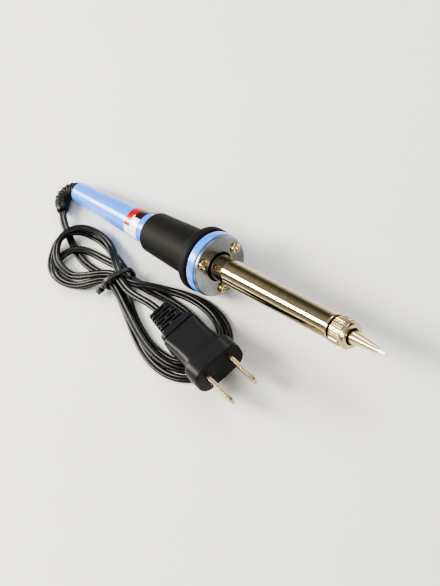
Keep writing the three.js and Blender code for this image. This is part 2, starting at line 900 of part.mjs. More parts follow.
const boot = node('strain_relief_boot', strainReliefBoot(), finishes.blackRubber);
iron.add(
  node('handle_shell', handleShell(), finishes.blueShell),
  node('grip_sleeve', gripSleeve(), finishes.blackRubber),
  node('label_sticker', labelSticker(), finishes.label),
  node('flange_plate', flangePlate(), finishes.steel),
  node('fibre_washer', fibreWasher(), finishes.fibre),
  node('barrel_tube', barrelTube(), finishes.chrome),
  node('barrel_bush', barrelBush(), finishes.brass),
  node('heater_former', heaterFormer(), finishes.ceramic),
  node('heater_winding', heaterWinding(), finishes.steel),
  node('mica_sleeve', micaSleeve(), finishes.mica),
  node('knurled_nut', knurledNut(), finishes.chrome),
  node('tip_collet', tipCollet(), finishes.brass),
  node('soldering_tip', solderingTip(), finishes.tip),
  node('inner_cord', innerCord(), finishes.blackVinyl),
  node('cord_clip', cordClip(), finishes.fibre),
  boot,
);

screwPlaces().forEach(([y, z], i) => {
  const screw = node(`flange_screw_${i + 1}`, flangeScrew(), finishes.chrome);
  screw.position.set(screwSeat, y, z);
  iron.add(screw);
});

[1, -1].forEach((side, i) => {
  iron.add(
    node(`heater_lead_${i + 1}`, heaterLead(side), finishes.ceramic),
    node(`crimp_sleeve_${i + 1}`, crimpSleeve(side), finishes.brass),
    node(`core_wire_${i + 1}`, coreWire(side), finishes.blackVinyl),
  );
});

// The iron rests on the grip's rim and on the handle's rear end, so it leans up towards the tip.
const rimMiddle = gripFront - rimDepth / 2;
const restTilt = Math.atan2(rimRadius - handleRearRadius, rimMiddle + handleLength - 1.4);
iron.rotation.y = -restTilt;
iron.updateMatrixWorld(true);
iron.remove(boot);
const reach = new THREE.Box3().setFromObject(iron, true);
iron.add(boot);
iron.position.set(-(reach.min.x + reach.max.x) / 2, -(reach.min.y + reach.max.y) / 2, -reach.min.z);

const plug = new THREE.Group();
plug.add(node('plug_body', plugBody(), finishes.blackVinyl));
[1, -1].forEach((side, i) => {
  const blade = node(`plug_blade_${i + 1}`, plugBlade(), finishes.brass);
  blade.position.y = (side * bladePitch) / 2;
  plug.add(blade);
});
plug.rotation.z = degrees(plugHeading);
plug.position.set(plugX, plugY, plugRest + plugThickness / 2);

const station = new THREE.Group();
station.add(
  iron,
  plug,
  node('cord_lead', freeCord(leadRoute), finishes.blackVinyl),
  node('cord_hank', hankSolid(), finishes.blackVinyl),
  node('cord_tail', freeCord(tailRoute), finishes.blackVinyl),
  node('hank_tie', hankTie(), finishes.blackVinyl),
);

export default station;
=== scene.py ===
# %% [markdown]
# # A mains soldering iron with its lead folded into a hank
# The iron lies on a bench: a tapered plastic handle with a rubber grip, a steel barrel, a knurled
# nut and a conical tip. Its two-core lead is folded, tied and tucked under its own plug. The packed
# CAD model gives every place. Here each part that is seen gets its finer shape and its finish.

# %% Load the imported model
import bpy, bmesh, json, math
import numpy as np
from mathutils import Matrix, Vector


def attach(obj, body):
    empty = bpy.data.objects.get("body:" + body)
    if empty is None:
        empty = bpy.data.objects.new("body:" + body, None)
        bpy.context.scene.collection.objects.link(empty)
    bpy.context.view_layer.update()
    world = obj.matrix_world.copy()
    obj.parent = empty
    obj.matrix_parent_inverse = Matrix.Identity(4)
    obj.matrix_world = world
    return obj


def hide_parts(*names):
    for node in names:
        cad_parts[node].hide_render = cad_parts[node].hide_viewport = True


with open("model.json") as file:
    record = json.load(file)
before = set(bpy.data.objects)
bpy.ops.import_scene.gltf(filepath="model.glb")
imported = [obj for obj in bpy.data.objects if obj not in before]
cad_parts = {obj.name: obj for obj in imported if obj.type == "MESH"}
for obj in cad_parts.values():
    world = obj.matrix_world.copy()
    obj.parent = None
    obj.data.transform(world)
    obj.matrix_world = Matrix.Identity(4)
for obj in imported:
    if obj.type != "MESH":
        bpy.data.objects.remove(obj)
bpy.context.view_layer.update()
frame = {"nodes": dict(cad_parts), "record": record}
MM = 0.001             # Blender works in metres here, and the sizes below are in millimetres

# %% [markdown]
# The iron leans by a few degrees, because it rests on its grip's rim and on the handle's end. All
# its turned parts share one axis, so it is easiest to draw them along X and then to lean them. The
# record states that axis for the nut, and the nut's pivot lies 79 mm in front of the handle.

# %% The iron's own frame
NUT_PIVOT = 79 * MM
joints = {j["name"]: j for j in frame["record"]["behaviour"]["joints"]}
axis = Vector(joints["nut_turn"]["axis"]).normalized()
iron_origin = Vector(joints["nut_turn"]["pos_m"]) - axis * NUT_PIVOT
tilt = math.atan2(axis.z, axis.x)
iron_frame = Matrix.Translation(iron_origin) @ Matrix.Rotation(-tilt, 4, "Y")
print("tilt", round(math.degrees(tilt), 3), "degrees; axis check",
      (iron_frame.to_3x3() @ Vector((1, 0, 0)) - axis).length)

# %% [markdown]
# The camera stands to the front right of the iron and looks steeply down, and it is rolled, so the
# iron runs down across the view. It is given as a point to look at, two angles, a roll, a
# distance and a long lens, which are easier to adjust than a matrix.

# %% Camera
LOOK_AT = Vector((4.03, -8.42, 9.58)) * MM
DISTANCE = 0.9545      # in metres
LENS, SENSOR = 181.2, 36
AZIMUTH, ELEVATION, ROLL = (math.radians(a) for a in (-20.96, 50.67, -32.8))


def add_to_scene(name, data):
    thing = bpy.data.objects.new(name, data)
    bpy.context.scene.collection.objects.link(thing)
    return thing


camera_data = bpy.data.cameras.new("camera")
camera_data.lens, camera_data.sensor_width, camera_data.sensor_fit = LENS, SENSOR, "HORIZONTAL"
camera_data.clip_end = 20
camera = add_to_scene("camera", camera_data)
back = Vector((math.cos(ELEVATION) * math.cos(AZIMUTH), math.cos(ELEVATION) * math.sin(AZIMUTH),
               math.sin(ELEVATION)))
level = Vector((-math.sin(AZIMUTH), math.cos(AZIMUTH), 0))
right = level * math.cos(ROLL) + back.cross(level) * math.sin(ROLL)
turn = Matrix((right, back.cross(right), back)).transposed().to_4x4()
camera.matrix_world = Matrix.Translation(LOOK_AT + back * DISTANCE) @ turn
bpy.context.scene.camera = camera
print("camera at", [round(c, 4) for c in camera.matrix_world.translation])

# %% [markdown]
# Almost every part is drawn as a list of points, so a few small helpers make all the meshes. One
# makes an object from points and faces, one lofts rings of points into a skin, and one rounds the
# corners of an outline, because real edges are never sharp and their highlights show it. The lathe
# turns such an outline about the iron's axis.

# %% Mesh helpers
SAME_PLACE = 1e-7      # points nearer than this, in metres, are one point
CORNER_STEPS = 5       # straight steps in a rounded corner


def add_object(name, mesh, smooth=35):
    """Adds a mesh as a piece that is smooth, except at edges that turn more than some degrees."""
    mesh.name = name
    mesh.shade_smooth()
    mesh.set_sharp_from_angle(angle=math.radians(smooth))
    print(name + ":", len(mesh.polygons), "faces")
    return add_to_scene(name, mesh)


def make_piece(name, points, faces, smooth=35):
    mesh = bpy.data.meshes.new(name)
    mesh.from_pydata([tuple(p) for p in points], [], faces)
    work = bmesh.new()
    work.from_mesh(mesh)
    bmesh.ops.remove_doubles(work, verts=work.verts, dist=SAME_PLACE)
    bmesh.ops.recalc_face_normals(work, faces=work.faces)
    work.to_mesh(mesh)
    work.free()
    return add_object(name, mesh, smooth)


def join_pieces(name, *pieces):
    """Puts several meshes into one piece."""
    work = bmesh.new()
    for piece in pieces:
        work.from_mesh(piece.data)
        bpy.data.objects.remove(piece)
    mesh = bpy.data.meshes.new(name)
    work.to_mesh(mesh)
    work.free()
    return add_object(name, mesh)


def bare_mesh(piece):
    """Keeps a piece's mesh, for a tree to copy, and removes its object."""
    mesh = piece.data
    bpy.data.objects.remove(piece)
    return mesh


def final_mesh(source):
    """The mesh that an object's modifiers or curve settings make of it. The object goes."""
    bpy.context.view_layer.update()
    mesh = bpy.data.meshes.new_from_object(source.evaluated_get(bpy.context.evaluated_depsgraph_get()))
    bpy.data.objects.remove(source)
    return mesh


def skin(rings, closed=False, ends=True):
    """Faces that join rings of equal length: a tube with flat ends, or a ring of rings."""
    rings = [list(r) for r in rings]
    around, count = len(rings[0]), len(rings)
    points = [p for r in rings for p in r]
    faces = []
    for i in range(count if closed else count - 1):
        a, b = i * around, ((i + 1) % count) * around
        faces += [(a + k, a + (k + 1) % around, b + (k + 1) % around, b + k) for k in range(around)]
    if ends and not closed:
        for first in (0, (count - 1) * around):
            ring = points[first:first + around]
            points.append(tuple(sum(c) / around for c in zip(*ring)))
            faces += [(first + k, first + (k + 1) % around, len(points) - 1) for k in range(around)]
    return points, faces


def rounded(outline):
    """An outline whose points may carry a third number, the radius of their corner."""
    out = []
    for i, corner in enumerate(outline):
        radius = corner[2] if len(corner) > 2 else 0
        here = Vector(corner[:2])
        if not radius:
            out.append(tuple(here))
            continue
        into = (Vector(outline[i - 1][:2]) - here).normalized()
        away = (Vector(outline[(i + 1) % len(outline)][:2]) - here).normalized()
        half = into.angle(away) / 2
        reach = radius / math.tan(half)
        centre = here + (into + away).normalized() * radius / math.sin(half)
        start, end = here + into * reach - centre, here + away * reach - centre
        for k in range(CORNER_STEPS + 1):
            out.append(tuple(centre + start.slerp(end, k / CORNER_STEPS).normalized() * radius))
    return out


def circle(count):
    return np.linspace(0, 2 * math.pi, count, endpoint=False)


def round_x(x, radius, angle):
    """A place in metres, from millimetres along X and from X, and an angle round it."""
    return (x * MM, radius * MM * math.cos(angle), radius * MM * math.sin(angle))


def lathe(name, outline, segments=96, closed=True):
    """Turns an outline of (x, radius) millimetres about the iron's axis, and leans it."""
    rings = [[iron_frame @ Vector(round_x(x, r, a)) for a in circle(segments)] for x, r in rounded(outline)]
    return make_piece(name, *skin(rings, closed=closed))


# %% [markdown]
# Geometry Nodes copy what repeats: screws, knurl ribs, boot ribs, plug ribs. Each tree is built in
# code from a few nodes, with named inputs for its sizes. One function adds a node to a tree, for
# shaders and geometry alike. A socket's value is a constant, or names another node and its output,
# which becomes a link. Every tree ends in real geometry with its finish, and is run only once.

# %% Node helper
def put(tree, kind, sockets=None, **settings):
    node = tree.nodes.new(kind)
    for name, value in settings.items():
        setattr(node, name, value)
    for name, value in (sockets or {}).items():
        if isinstance(value, tuple) and isinstance(value[0], bpy.types.Node):
            tree.links.new(value[0].outputs[value[1]], node.inputs[name])
        else:
            node.inputs[name].default_value = value
    return node


def start_tree(name, inputs):
    """A geometry tree with a mesh and a finish as inputs, and more inputs by name and kind."""
    tree = bpy.data.node_groups.new(name, "GeometryNodeTree")
    tree.interface.new_socket("Geometry", in_out="OUTPUT", socket_type="NodeSocketGeometry")
    for label, kind in {"Geometry": "Geometry", "Finish": "Material", **inputs}.items():
        tree.interface.new_socket(label, in_out="INPUT", socket_type="NodeSocket" + kind)
    return tree, put(tree, "NodeGroupInput")


def end_tree(tree, given, shape):
    real = put(tree, "GeometryNodeRealizeInstances", {"Geometry": (shape, 0)})
    finished = put(tree, "GeometryNodeSetMaterial", {"Geometry": (real, 0), "Material": (given, "Finish")})
    put(tree, "NodeGroupOutput", {"Geometry": (finished, 0)})
    print(tree.name + ":", len(tree.nodes), "nodes")


def grow(name, mesh, tree, values, smooth=35):
    """Runs a tree on a mesh and gives back the result as a plain piece."""
    source = add_to_scene(name + "_source", mesh)
    modifier = source.modifiers.new("grow", "NODES")
    modifier.node_group = tree
    for item in tree.interface.items_tree:
        if item.item_type == "SOCKET" and item.in_out == "INPUT" and item.name in values:
            modifier[item.identifier] = values[item.name]
    return add_object(name, final_mesh(source), smooth)


# %% [markdown]
# ## Finishes
# Each finish is named for the real one. Colours are sRGB hex values, which one function turns to
# linear light. Patterns read Object coordinates in metres, so a noise whose features are s mm wide
# has a scale of 1000 / s. Two recipes cover most of the parts. The first is for moulded plastic and
# rubber: a slow shift of colour, and a fine grain that the mould leaves, which changes both gloss
# and bump. A noise keeps mostly between 0.3 and 0.7, so that is the range that the gloss follows.

# %% Colour and the moulded recipe
def colour(hex_value):
    parts = [int(hex_value[i:i + 2], 16) / 255 for i in (0, 2, 4)]
    return tuple([p / 12.92 if p <= 0.04045 else ((p + 0.055) / 1.055)**2.4 for p in parts] + [1.0])


def start_finish(name):
    finish = bpy.data.materials.new(name)
    finish.use_nodes = True
    finish.node_tree.nodes.clear()
    return finish, finish.node_tree


def end_finish(tree, sockets):
    shader = put(tree, "ShaderNodeBsdfPrincipled", sockets)
    put(tree, "ShaderNodeOutputMaterial", {"Surface": (shader, "BSDF")})


def moulded(name, dark, light, rough, grain, depth, patch, constants):
    """Moulded plastic or rubber. Grain, depth and patch are in millimetres."""
    finish, tree = start_finish(name)
    place = put(tree, "ShaderNodeTexCoord")
    cloud = put(tree, "ShaderNodeTexNoise", {
        "Vector": (place, "Object"), "Scale": 1000 / patch, "Detail": 3.0})
    tint = put(tree, "ShaderNodeMix", {0: (cloud, "Fac"), 6: colour(dark), 7: colour(light)}, data_type="RGBA")
    fine = put(tree, "ShaderNodeTexNoise", {
        "Vector": (place, "Object"), "Scale": 1000 / grain, "Detail": 4.0})
    gloss = put(tree, "ShaderNodeMapRange", {
        "Value": (fine, "Fac"), "From Min": 0.3, "From Max": 0.7, "To Min": rough[0], "To Max": rough[1]})
    relief = put(tree, "ShaderNodeBump", {"Height": (fine, "Fac"), "Distance": depth * MM, "Strength": 1.0})
    end_finish(tree, {"Base Color": (tint, 2), "Roughness": (gloss, 0), "Normal": (relief, 0), **constants})
    return finish


print("a middle grey, 808080, is", round(colour("808080")[0], 3), "in linear light")

# %% [markdown]
# The second recipe is for metal that was turned or polished on a lathe. Its marks run round the
# shaft, so they depend only on the place along the axis, or on a flat face only on the radius. A
# Mapping node turns Object coordinates into the iron's own frame first. The marks times a soft cloud
# keep between 0.12 and 0.4, and brighter places are also the smoother ones.

# %% The turned metal recipe
CLOUD = 110.0          # the cloud's scale: patches about 9 mm wide


def in_iron(tree):
    place = put(tree, "ShaderNodeTexCoord")
    undo = Matrix.Rotation(tilt, 3, "Y")
    return put(tree, "ShaderNodeMapping", {
        "Vector": (place, "Object"), "Rotation": (0, tilt, 0), "Location": tuple(-(undo @ iron_origin))},
        vector_type="POINT")


def turned_metal(name, dark, light, rough, mark, depth, face=False):
    """Turned or polished metal. Mark is the width of a tool mark and depth its depth, in mm."""
    finish, tree = start_finish(name)
    inside = in_iron(tree)
    parts = put(tree, "ShaderNodeSeparateXYZ", {"Vector": (inside, 0)})
    across = put(tree, "ShaderNodeCombineXYZ", {"Y": (parts, "Y"), "Z": (parts, "Z")})
    radius = put(tree, "ShaderNodeVectorMath", {0: (across, 0)}, operation="LENGTH")
    where = (radius, "Value") if face else (parts, "X")
    marks = put(tree, "ShaderNodeTexNoise", {"W": where, "Scale": 1000 / mark, "Detail": 3.0},
                noise_dimensions="1D")
    cloud = put(tree, "ShaderNodeTexNoise", {"Vector": (inside, 0), "Scale": CLOUD, "Detail": 5.0})
    both = put(tree, "ShaderNodeMath", {0: (marks, "Fac"), 1: (cloud, "Fac")}, operation="MULTIPLY")
    bright = put(tree, "ShaderNodeMapRange", {"Value": (both, 0), "From Min": 0.12, "From Max": 0.4})
    tint = put(tree, "ShaderNodeMix", {0: (bright, 0), 6: colour(dark), 7: colour(light)}, data_type="RGBA")
    gloss = put(tree, "ShaderNodeMapRange", {
        "Value": (both, 0), "From Min": 0.12, "From Max": 0.4, "To Min": rough[1], "To Max": rough[0]})
    relief = put(tree, "ShaderNodeBump", {"Height": (marks, "Fac"), "Distance": depth * MM, "Strength": 1.0})
    end_finish(tree, {
        "Metallic": 1.0, "Base Color": (tint, 2), "Roughness": (gloss, 0), "Normal": (relief, 0)})
    return finish


# %% [markdown]
# The plastics and rubbers differ mostly in gloss. The handle is glossy ABS straight from a polished
# mould, with hardly any grain. The grip is matt rubber with a fine tooth. The boot and the lead are
# soft vinyl, smoother and shinier than the grip. The plug is satin vinyl with a slightly coarser
# grain. Grains finer than 0.3 mm are drawn at 0.3 to 0.8 mm, so that they show. Each line gives the
# finish's name, its two colours, its range of roughness, its grain, the grain's depth and its
# patches in millimetres, and the constants of its shader.

# %% Plastics and rubbers
finishes = {
    # glossy light-blue ABS, moulded: clear highlights, a little orange peel
    "blue_handle": moulded("glossy_blue_abs", "3D7FE8", "4689F0", (0.24, 0.29), 5.0, 0.0015, 45,
                           {"Coat Weight": 0.6, "Coat Roughness": 0.2, "IOR": 1.53}),
    # matt moulded nitrile rubber: wide dull highlights, slightly grey where it catches light
    "black_grip_rubber": moulded("matt_grip_rubber", "080807", "0E0E0D", (0.56, 0.68), 0.6, 0.014, 9,
                                 {"IOR": 1.5, "Specular IOR Level": 0.14}),
    # flexible boot vinyl: darker and smoother than the grip
    "boot_rubber": moulded("soft_boot_vinyl", "090909", "101011", (0.34, 0.46), 0.8, 0.01, 6,
                           {"IOR": 1.5, "Specular IOR Level": 0.28}),
    # extruded PVC sheath: glossy, with long soft highlights on both cores
    "cord_vinyl": moulded("extruded_black_pvc", "060606", "0B0B0B", (0.26, 0.34), 4.0, 0.002, 12,
                          {"IOR": 1.5, "Specular IOR Level": 0.28}),
    # plastic-coated tie wire: slightly uneven, softly glossy
    "tie_plastic": moulded("coated_tie_wire", "0B0B0B", "151515", (0.3, 0.42), 0.7, 0.015, 5, {"IOR": 1.5}),
    # satin moulded plug vinyl: broad soft highlights, fine even grain
    "plug_vinyl": moulded("satin_plug_vinyl", "06070A", "0B0C10", (0.38, 0.48), 0.6, 0.01, 10,
                          {"IOR": 1.5, "Specular IOR Level": 0.22}),
    # vinyl of the two inner cores: pale and satin
    "core_vinyl": moulded("core_insulation_pvc", "B8B4A8", "D0CCC0", (0.4, 0.5), 0.8, 0.01, 6, {"IOR": 1.53}),
    # pressed insulating board: dull reddish brown with fibres
    "fibre_board": moulded("vulcanised_fibre", "4A2A1C", "6B4230", (0.6, 0.8), 0.35, 0.03, 2, {"IOR": 1.5}),
    # fired ceramic: chalky off-white
    "heater_ceramic": moulded("fired_steatite", "D8D2C2", "EDE8DA", (0.55, 0.7), 0.5, 0.02, 4, {"IOR": 1.6}),
    # split mica: brownish, layered and glossy in patches
    "mica_sheet": moulded("wrapped_mica", "8A7A58", "B5A880", (0.25, 0.55), 0.8, 0.02, 3, {"IOR": 1.58}),
    # woven glass sleeving: white and slightly fluffy
    "glass_sleeving": moulded("glass_fibre_sleeving", "D5D2C8", "F0EEE8", (0.6, 0.75), 0.3, 0.05, 1.5,
                              {"IOR": 1.5, "Sheen Weight": 0.3}),
}
print("plastics and rubbers:", len(finishes))

# %% [markdown]
# The metals differ in colour and polish. The plate shows rings of tool marks, the barrel is nearly a
# mirror with a tint from heat, and the nut and screws are plated and a little warmer. Each line gives
# the two colours, the range of roughness, and the tool mark's width and depth in millimetres.

# %% Metals
finishes.update({
    # sheet steel turned and polished on one face: rings of tool marks
    "plate_steel": turned_metal("turned_plate_steel", "77797C", "9C9EA1", (0.24, 0.34), 0.25, 0.0012,
                                face=True),
    # nickel-plated screws, slightly yellow
    "screw_steel": turned_metal("nickel_plated_screw", "B59F6C", "EADDB4", (0.12, 0.2), 0.5, 0.001),
    # polished stainless tube with a warm tint from heat
    "barrel_chrome": turned_metal("polished_warm_steel", "B0A283", "C6B998", (0.07, 0.12), 3.0, 0.0002),
    # plated nut, less polished than the tube
    "nut_chrome": turned_metal("plated_nut", "A2977C", "CFC3A2", (0.16, 0.24), 0.5, 0.0004),
    # brass gone brown in the heat
    "bush_brass": turned_metal("heat_dark_brass", "4E3B1E", "86683A", (0.35, 0.5), 0.3, 0.003),
    # clean drawn brass: yellow and satin
    "crimp_brass": turned_metal("bright_crimp_brass", "B08A3F", "D9B668", (0.25, 0.35), 0.4, 0.002),
    # nickel-chrome resistance wire: grey and dull
    "winding_wire": turned_metal("resistance_wire", "5C5850", "8E897E", (0.3, 0.45), 0.4, 0.002),
    # stamped brass strip, lightly plated: pale gold
    "blade_brass": turned_metal("stamped_blade_brass", "A8966C", "CFC19A", (0.2, 0.34), 0.6, 0.001),
})
print("with metals:", len(finishes))

# %% [markdown]
# The tip's plated cone ends in solder. Both are one piece of metal, so one finish does it: a ramp
# along the iron's axis goes from warm plating to bright tin in the last 4 mm, and a noise breaks
# the line where they meet, as solder creeps unevenly.

# %% Tip finish
TINNED_FROM, TINNED_TO = 100.6 * MM, 101.4 * MM
CREEP, CREEP_REACH = 600.0, 1.4 * MM       # patches about 1.7 mm wide shift the edge so far
TIP_GRAIN = 260.0                          # patches about 4 mm wide


def tinned_tip():
    finish, tree = start_finish("plated_and_tinned_tip")
    inside = in_iron(tree)
    parts = put(tree, "ShaderNodeSeparateXYZ", {"Vector": (inside, 0)})
    creep = put(tree, "ShaderNodeTexNoise", {"Vector": (inside, 0), "Scale": CREEP, "Detail": 3.0})
    edge = put(tree, "ShaderNodeMath", {0: (creep, "Fac"), 1: CREEP_REACH, 2: (parts, "X")},
               operation="MULTIPLY_ADD")
    tinned = put(tree, "ShaderNodeMapRange", {
        "Value": (edge, 0), "From Min": TINNED_FROM, "From Max": TINNED_TO}, interpolation_type="SMOOTHSTEP")
    grain = put(tree, "ShaderNodeTexNoise", {"Vector": (inside, 0), "Scale": TIP_GRAIN, "Detail": 5.0})
    plating = put(tree, "ShaderNodeMix", {0: (grain, "Fac"), 6: colour("B3A67A"), 7: colour("DDD2A8")},
                  data_type="RGBA")
    metal = put(tree, "ShaderNodeMix", {0: (tinned, 0), 6: (plating, 2), 7: colour("F4F2EC")},
                data_type="RGBA")
    gloss = put(tree, "ShaderNodeMapRange", {"Value": (tinned, 0), "To Min": 0.2, "To Max": 0.34})
    relief = put(tree, "ShaderNodeBump", {"Height": (grain, "Fac"), "Distance": 0.01 * MM, "Strength": 1.0})
    end_finish(tree, {
        "Metallic": 1.0, "Base Color": (metal, 2), "Roughness": (gloss, 0), "Normal": (relief, 0)})
    print("tip finish:", len(tree.nodes), "nodes")
    return finish


finishes["tip_metal"] = tinned_tip()

# %% [markdown]
# The label is a printed gloss film. Its areas follow the film, so the finish reads the piece's own
# UV map: U runs along the handle and V round it. Red lies along the rear edge and over the top, with
# a dark panel beside it, and the lower part is a near-white painted highlight. There is no text.

# %% Label finish
RED_OVER_TOP = 0.56                        # V up to which all of it is red
RED_BAND, RED_BAND_END = 0.33, 0.8         # U up to which the rear edge is red, and V where that ends
DARK_FROM, DARK_MIDDLE, DARK_HALF = 0.52, 0.49, 0.11       # U where the panel starts, and its V


def film_print_and_painted_highlight():
    finish, tree = start_finish("gloss_film_print_and_painted_highlight")
    place = put(tree, "ShaderNodeUVMap", uv_map="round_the_handle")
    parts = put(tree, "ShaderNodeSeparateXYZ", {"Vector": (place, 0)})
    wave = put(tree, "ShaderNodeTexNoise", {"Vector": (place, 0), "Scale": 5.0, "Detail": 1.0})
    red_edge = put(tree, "ShaderNodeMath", {0: (wave, "Fac"), 1: -0.25, 2: (parts, "X")},
                   operation="MULTIPLY_ADD")
    in_band = put(tree, "ShaderNodeMath", {0: (red_edge, 0), 1: RED_BAND}, operation="LESS_THAN")
    above = put(tree, "ShaderNodeMath", {0: (parts, "Y"), 1: RED_BAND_END}, operation="LESS_THAN")
    band = put(tree, "ShaderNodeMath", {0: (in_band, 0), 1: (above, 0)}, operation="MULTIPLY")
    over_top = put(tree, "ShaderNodeMath", {0: (parts, "Y"), 1: RED_OVER_TOP}, operation="LESS_THAN")
    red = put(tree, "ShaderNodeMath", {0: (band, 0), 1: (over_top, 0)}, operation="MAXIMUM")
    dark_from = put(tree, "ShaderNodeMath", {0: (parts, "X"), 1: DARK_FROM}, operation="GREATER_THAN")
    dark_round = put(tree, "ShaderNodeMath", {0: (parts, "Y"), 1: DARK_MIDDLE, 2: DARK_HALF},
                     operation="COMPARE")
    dark = put(tree, "ShaderNodeMath", {0: (dark_from, 0), 1: (dark_round, 0)}, operation="MULTIPLY")
    # painted highlight: the film's lower part is coloured near white in place of the shine on it, with a faint
    # random shift
    painted_highlight_white = put(tree, "ShaderNodeMix", {0: (wave, "Fac"), 6: colour("E9EDF2"), 7: colour("FBFCFC")},
                data_type="RGBA")
    red_over_painted_highlight = put(tree, "ShaderNodeMix", {0: (red, 0), 6: (painted_highlight_white, 2), 7: colour("9E0B08")}, data_type="RGBA")
    print_over_painted_highlight = put(tree, "ShaderNodeMix", {0: (dark, 0), 6: (red_over_painted_highlight, 2), 7: colour("1A0F0E")}, data_type="RGBA")
    gloss = put(tree, "ShaderNodeMapRange", {"Value": (wave, "Fac"), "To Min": 0.22, "To Max": 0.32})
    end_finish(tree, {"Base Color": (print_over_painted_highlight, 2), "Roughness": (gloss, 0),
                      "IOR": 1.5, "Coat Weight": 0.6, "Coat Roughness": 0.1})
    return finish


finishes["label_film"] = film_print_and_painted_highlight()
print("all finishes:", len(finishes))

# %% [markdown]
# ## The folded lead
# The lead is 0.83 m of thin two-core flex. It leaves the boot, runs into the tie, and is then wound
# back and forth three times between a long front loop and a short rear loop, with the tie round the
# middle. Each turn is laid over the last one. So its plan is drawn first, as flat teardrop loops
# that pass the tie side by side, and its height comes from laying the line down from its start:
# wherever it crosses a run that is already there, it rides over it.

# %% Sizes of the lead
CORD_WIDTH, CORD_THICKNESS = 3.6, 2.0
BESIDE = 3.65          # between the middles of two runs that lie side by side
ABOVE = 2.08           # between the middles of two runs that lie on each other
STEP = 1.8             # between the points of the finished line
TIE = (-47.0, -25.0)
TIE_TURN = math.radians(-30)
IN_TIE = (-4, 0, 4)    # places along a run where it is held straight by the tie
lead_route = [(-99.5, -12.23, 4.51), (-97, -14.6, 4.3), (-94.7, -16.6, 3.6), (-92.6, -17.9, 3.1),
              (-90.2, -18.8, 2.9)]
into_tie = [(-85, -22.2), (-78.5, -25.2), (-71.5, -27.0), (-64.5, -27.2), (-58.5, -26.2)]
tail_route = [(-38, -29, 7.9), (-32.5, -29.4, 8.7), (-26, -29.2, 10.2), (-19, -29.3, 11.3),
              (-13.05, -30.2, 11.6)]
# each loop's reach from the tie, half its width, and its turn in degrees
front_loops = [(71, 18.3, -8.2), (60.5, 11, -10.5), (67, 15.6, -7.5)]
rear_loops = [(44.5, 13.6, -3), (39, 10.0, -12), (42.5, 12.2, 3)]
# the place across the tie that each run takes, forward and back
columns_forward = [-1, 0, -1, 0]
columns_back = [1, 1, 0]

# %% The lead's plan
def at_tie(along, across):
    """A place in the plan, from millimetres along and across the tie."""
    c, s = math.cos(TIE_TURN), math.sin(TIE_TURN)
    return (TIE[0] + along * c - across * s, TIE[1] + along * s + across * c)


def teardrop(reach, half, turn_degrees, forward):
    """One loop, from near the tie round its end and back, widest at two thirds of its reach."""
    width, a = half / 0.77, math.radians(turn_degrees if forward else -turn_degrees)
    loop = []
    for t in np.radians(np.arange(70, 292, 15.8)):
        x, y = reach * (1 - math.cos(t)) / 2, width * math.sin(t) * math.sin(t / 2)
        x, y = (x, -y) if forward else (-x, y)
        loop.append((TIE[0] + x * math.cos(a) - y * math.sin(a), TIE[1] + x * math.sin(a) + y * math.cos(a)))
    return loop


def lead_plan():
    plan = [p[:2] for p in lead_route] + into_tie
    for out, home, front, rear in zip(columns_forward, columns_back, front_loops, rear_loops):
        plan += [at_tie(along, out * BESIDE) for along in IN_TIE] + teardrop(*front, True)
        plan += [at_tie(along, home * BESIDE) for along in IN_TIE[::-1]] + teardrop(*rear, False)
    plan += [at_tie(along, columns_forward[-1] * BESIDE) for along in IN_TIE]
    return np.array(plan + [p[:2] for p in tail_route], float)


def run_length(line):
    return np.r_[0, np.cumsum(np.linalg.norm(np.diff(line, axis=0), axis=1))]


def evenly(line, step):
    along = run_length(line)
    stops = np.linspace(0, along[-1], int(round(along[-1] / step)) + 1)
    return np.column_stack([np.interp(stops, along, line[:, k]) for k in range(line.shape[1])])


def ease_once(line):
    """Moves each inner point half way to the middle of its neighbours."""
    line[1:-1] = line[1:-1] / 2 + (line[:-2] + line[2:]) / 4


def smooth_line(points, step):
    """A smooth line near the points, through the first and last, eased so that no fold is tight."""
    held = np.vstack([2 * points[0] - points[1], points, 2 * points[-1] - points[-2]])
    line = []
    for a, b, c, d in zip(held, held[1:], held[2:], held[3:]):
        for t in np.linspace(0, 1, 12, endpoint=False):
            line.append(((1 - t)**3 * a + (3*t**3 - 6*t*t + 4) * b + (-3*t**3 + 3*t*t + 3*t + 1) * c
                         + t**3 * d) / 6)
    line = evenly(np.array(line + [points[-1]]), step)
    eased = line.copy()
    for again in range(14):
        ease_once(eased)
    from_end = np.minimum(np.arange(len(line)), np.arange(len(line))[::-1])
    share = np.clip(from_end / 8, 0, 1)[:, None]
    return evenly(line * (1 - share) + eased * share, step)


plan = smooth_line(lead_plan(), STEP)
print("plan:", len(plan), "points,", round(run_length(plan)[-1]), "mm")

# %% Lay the lead down
OWN_REACH = 12         # a run nearer than this along the lead is the same run
TIE_FOOT = (2.6, 12, 2.5)                  # half its length and width under the lead, and its height
HUMP = 12              # points to each side that a crossing lifts
HUMP_RADIUS = 16       # of the arc in which the lead passes over another run
LAYERS = 26            # rounds of laying, more than there are runs on top of each other
TAIL_POINTS, TAIL_ROUNDS = 24, 12          # where the tail leaves the tie, it is eased once more


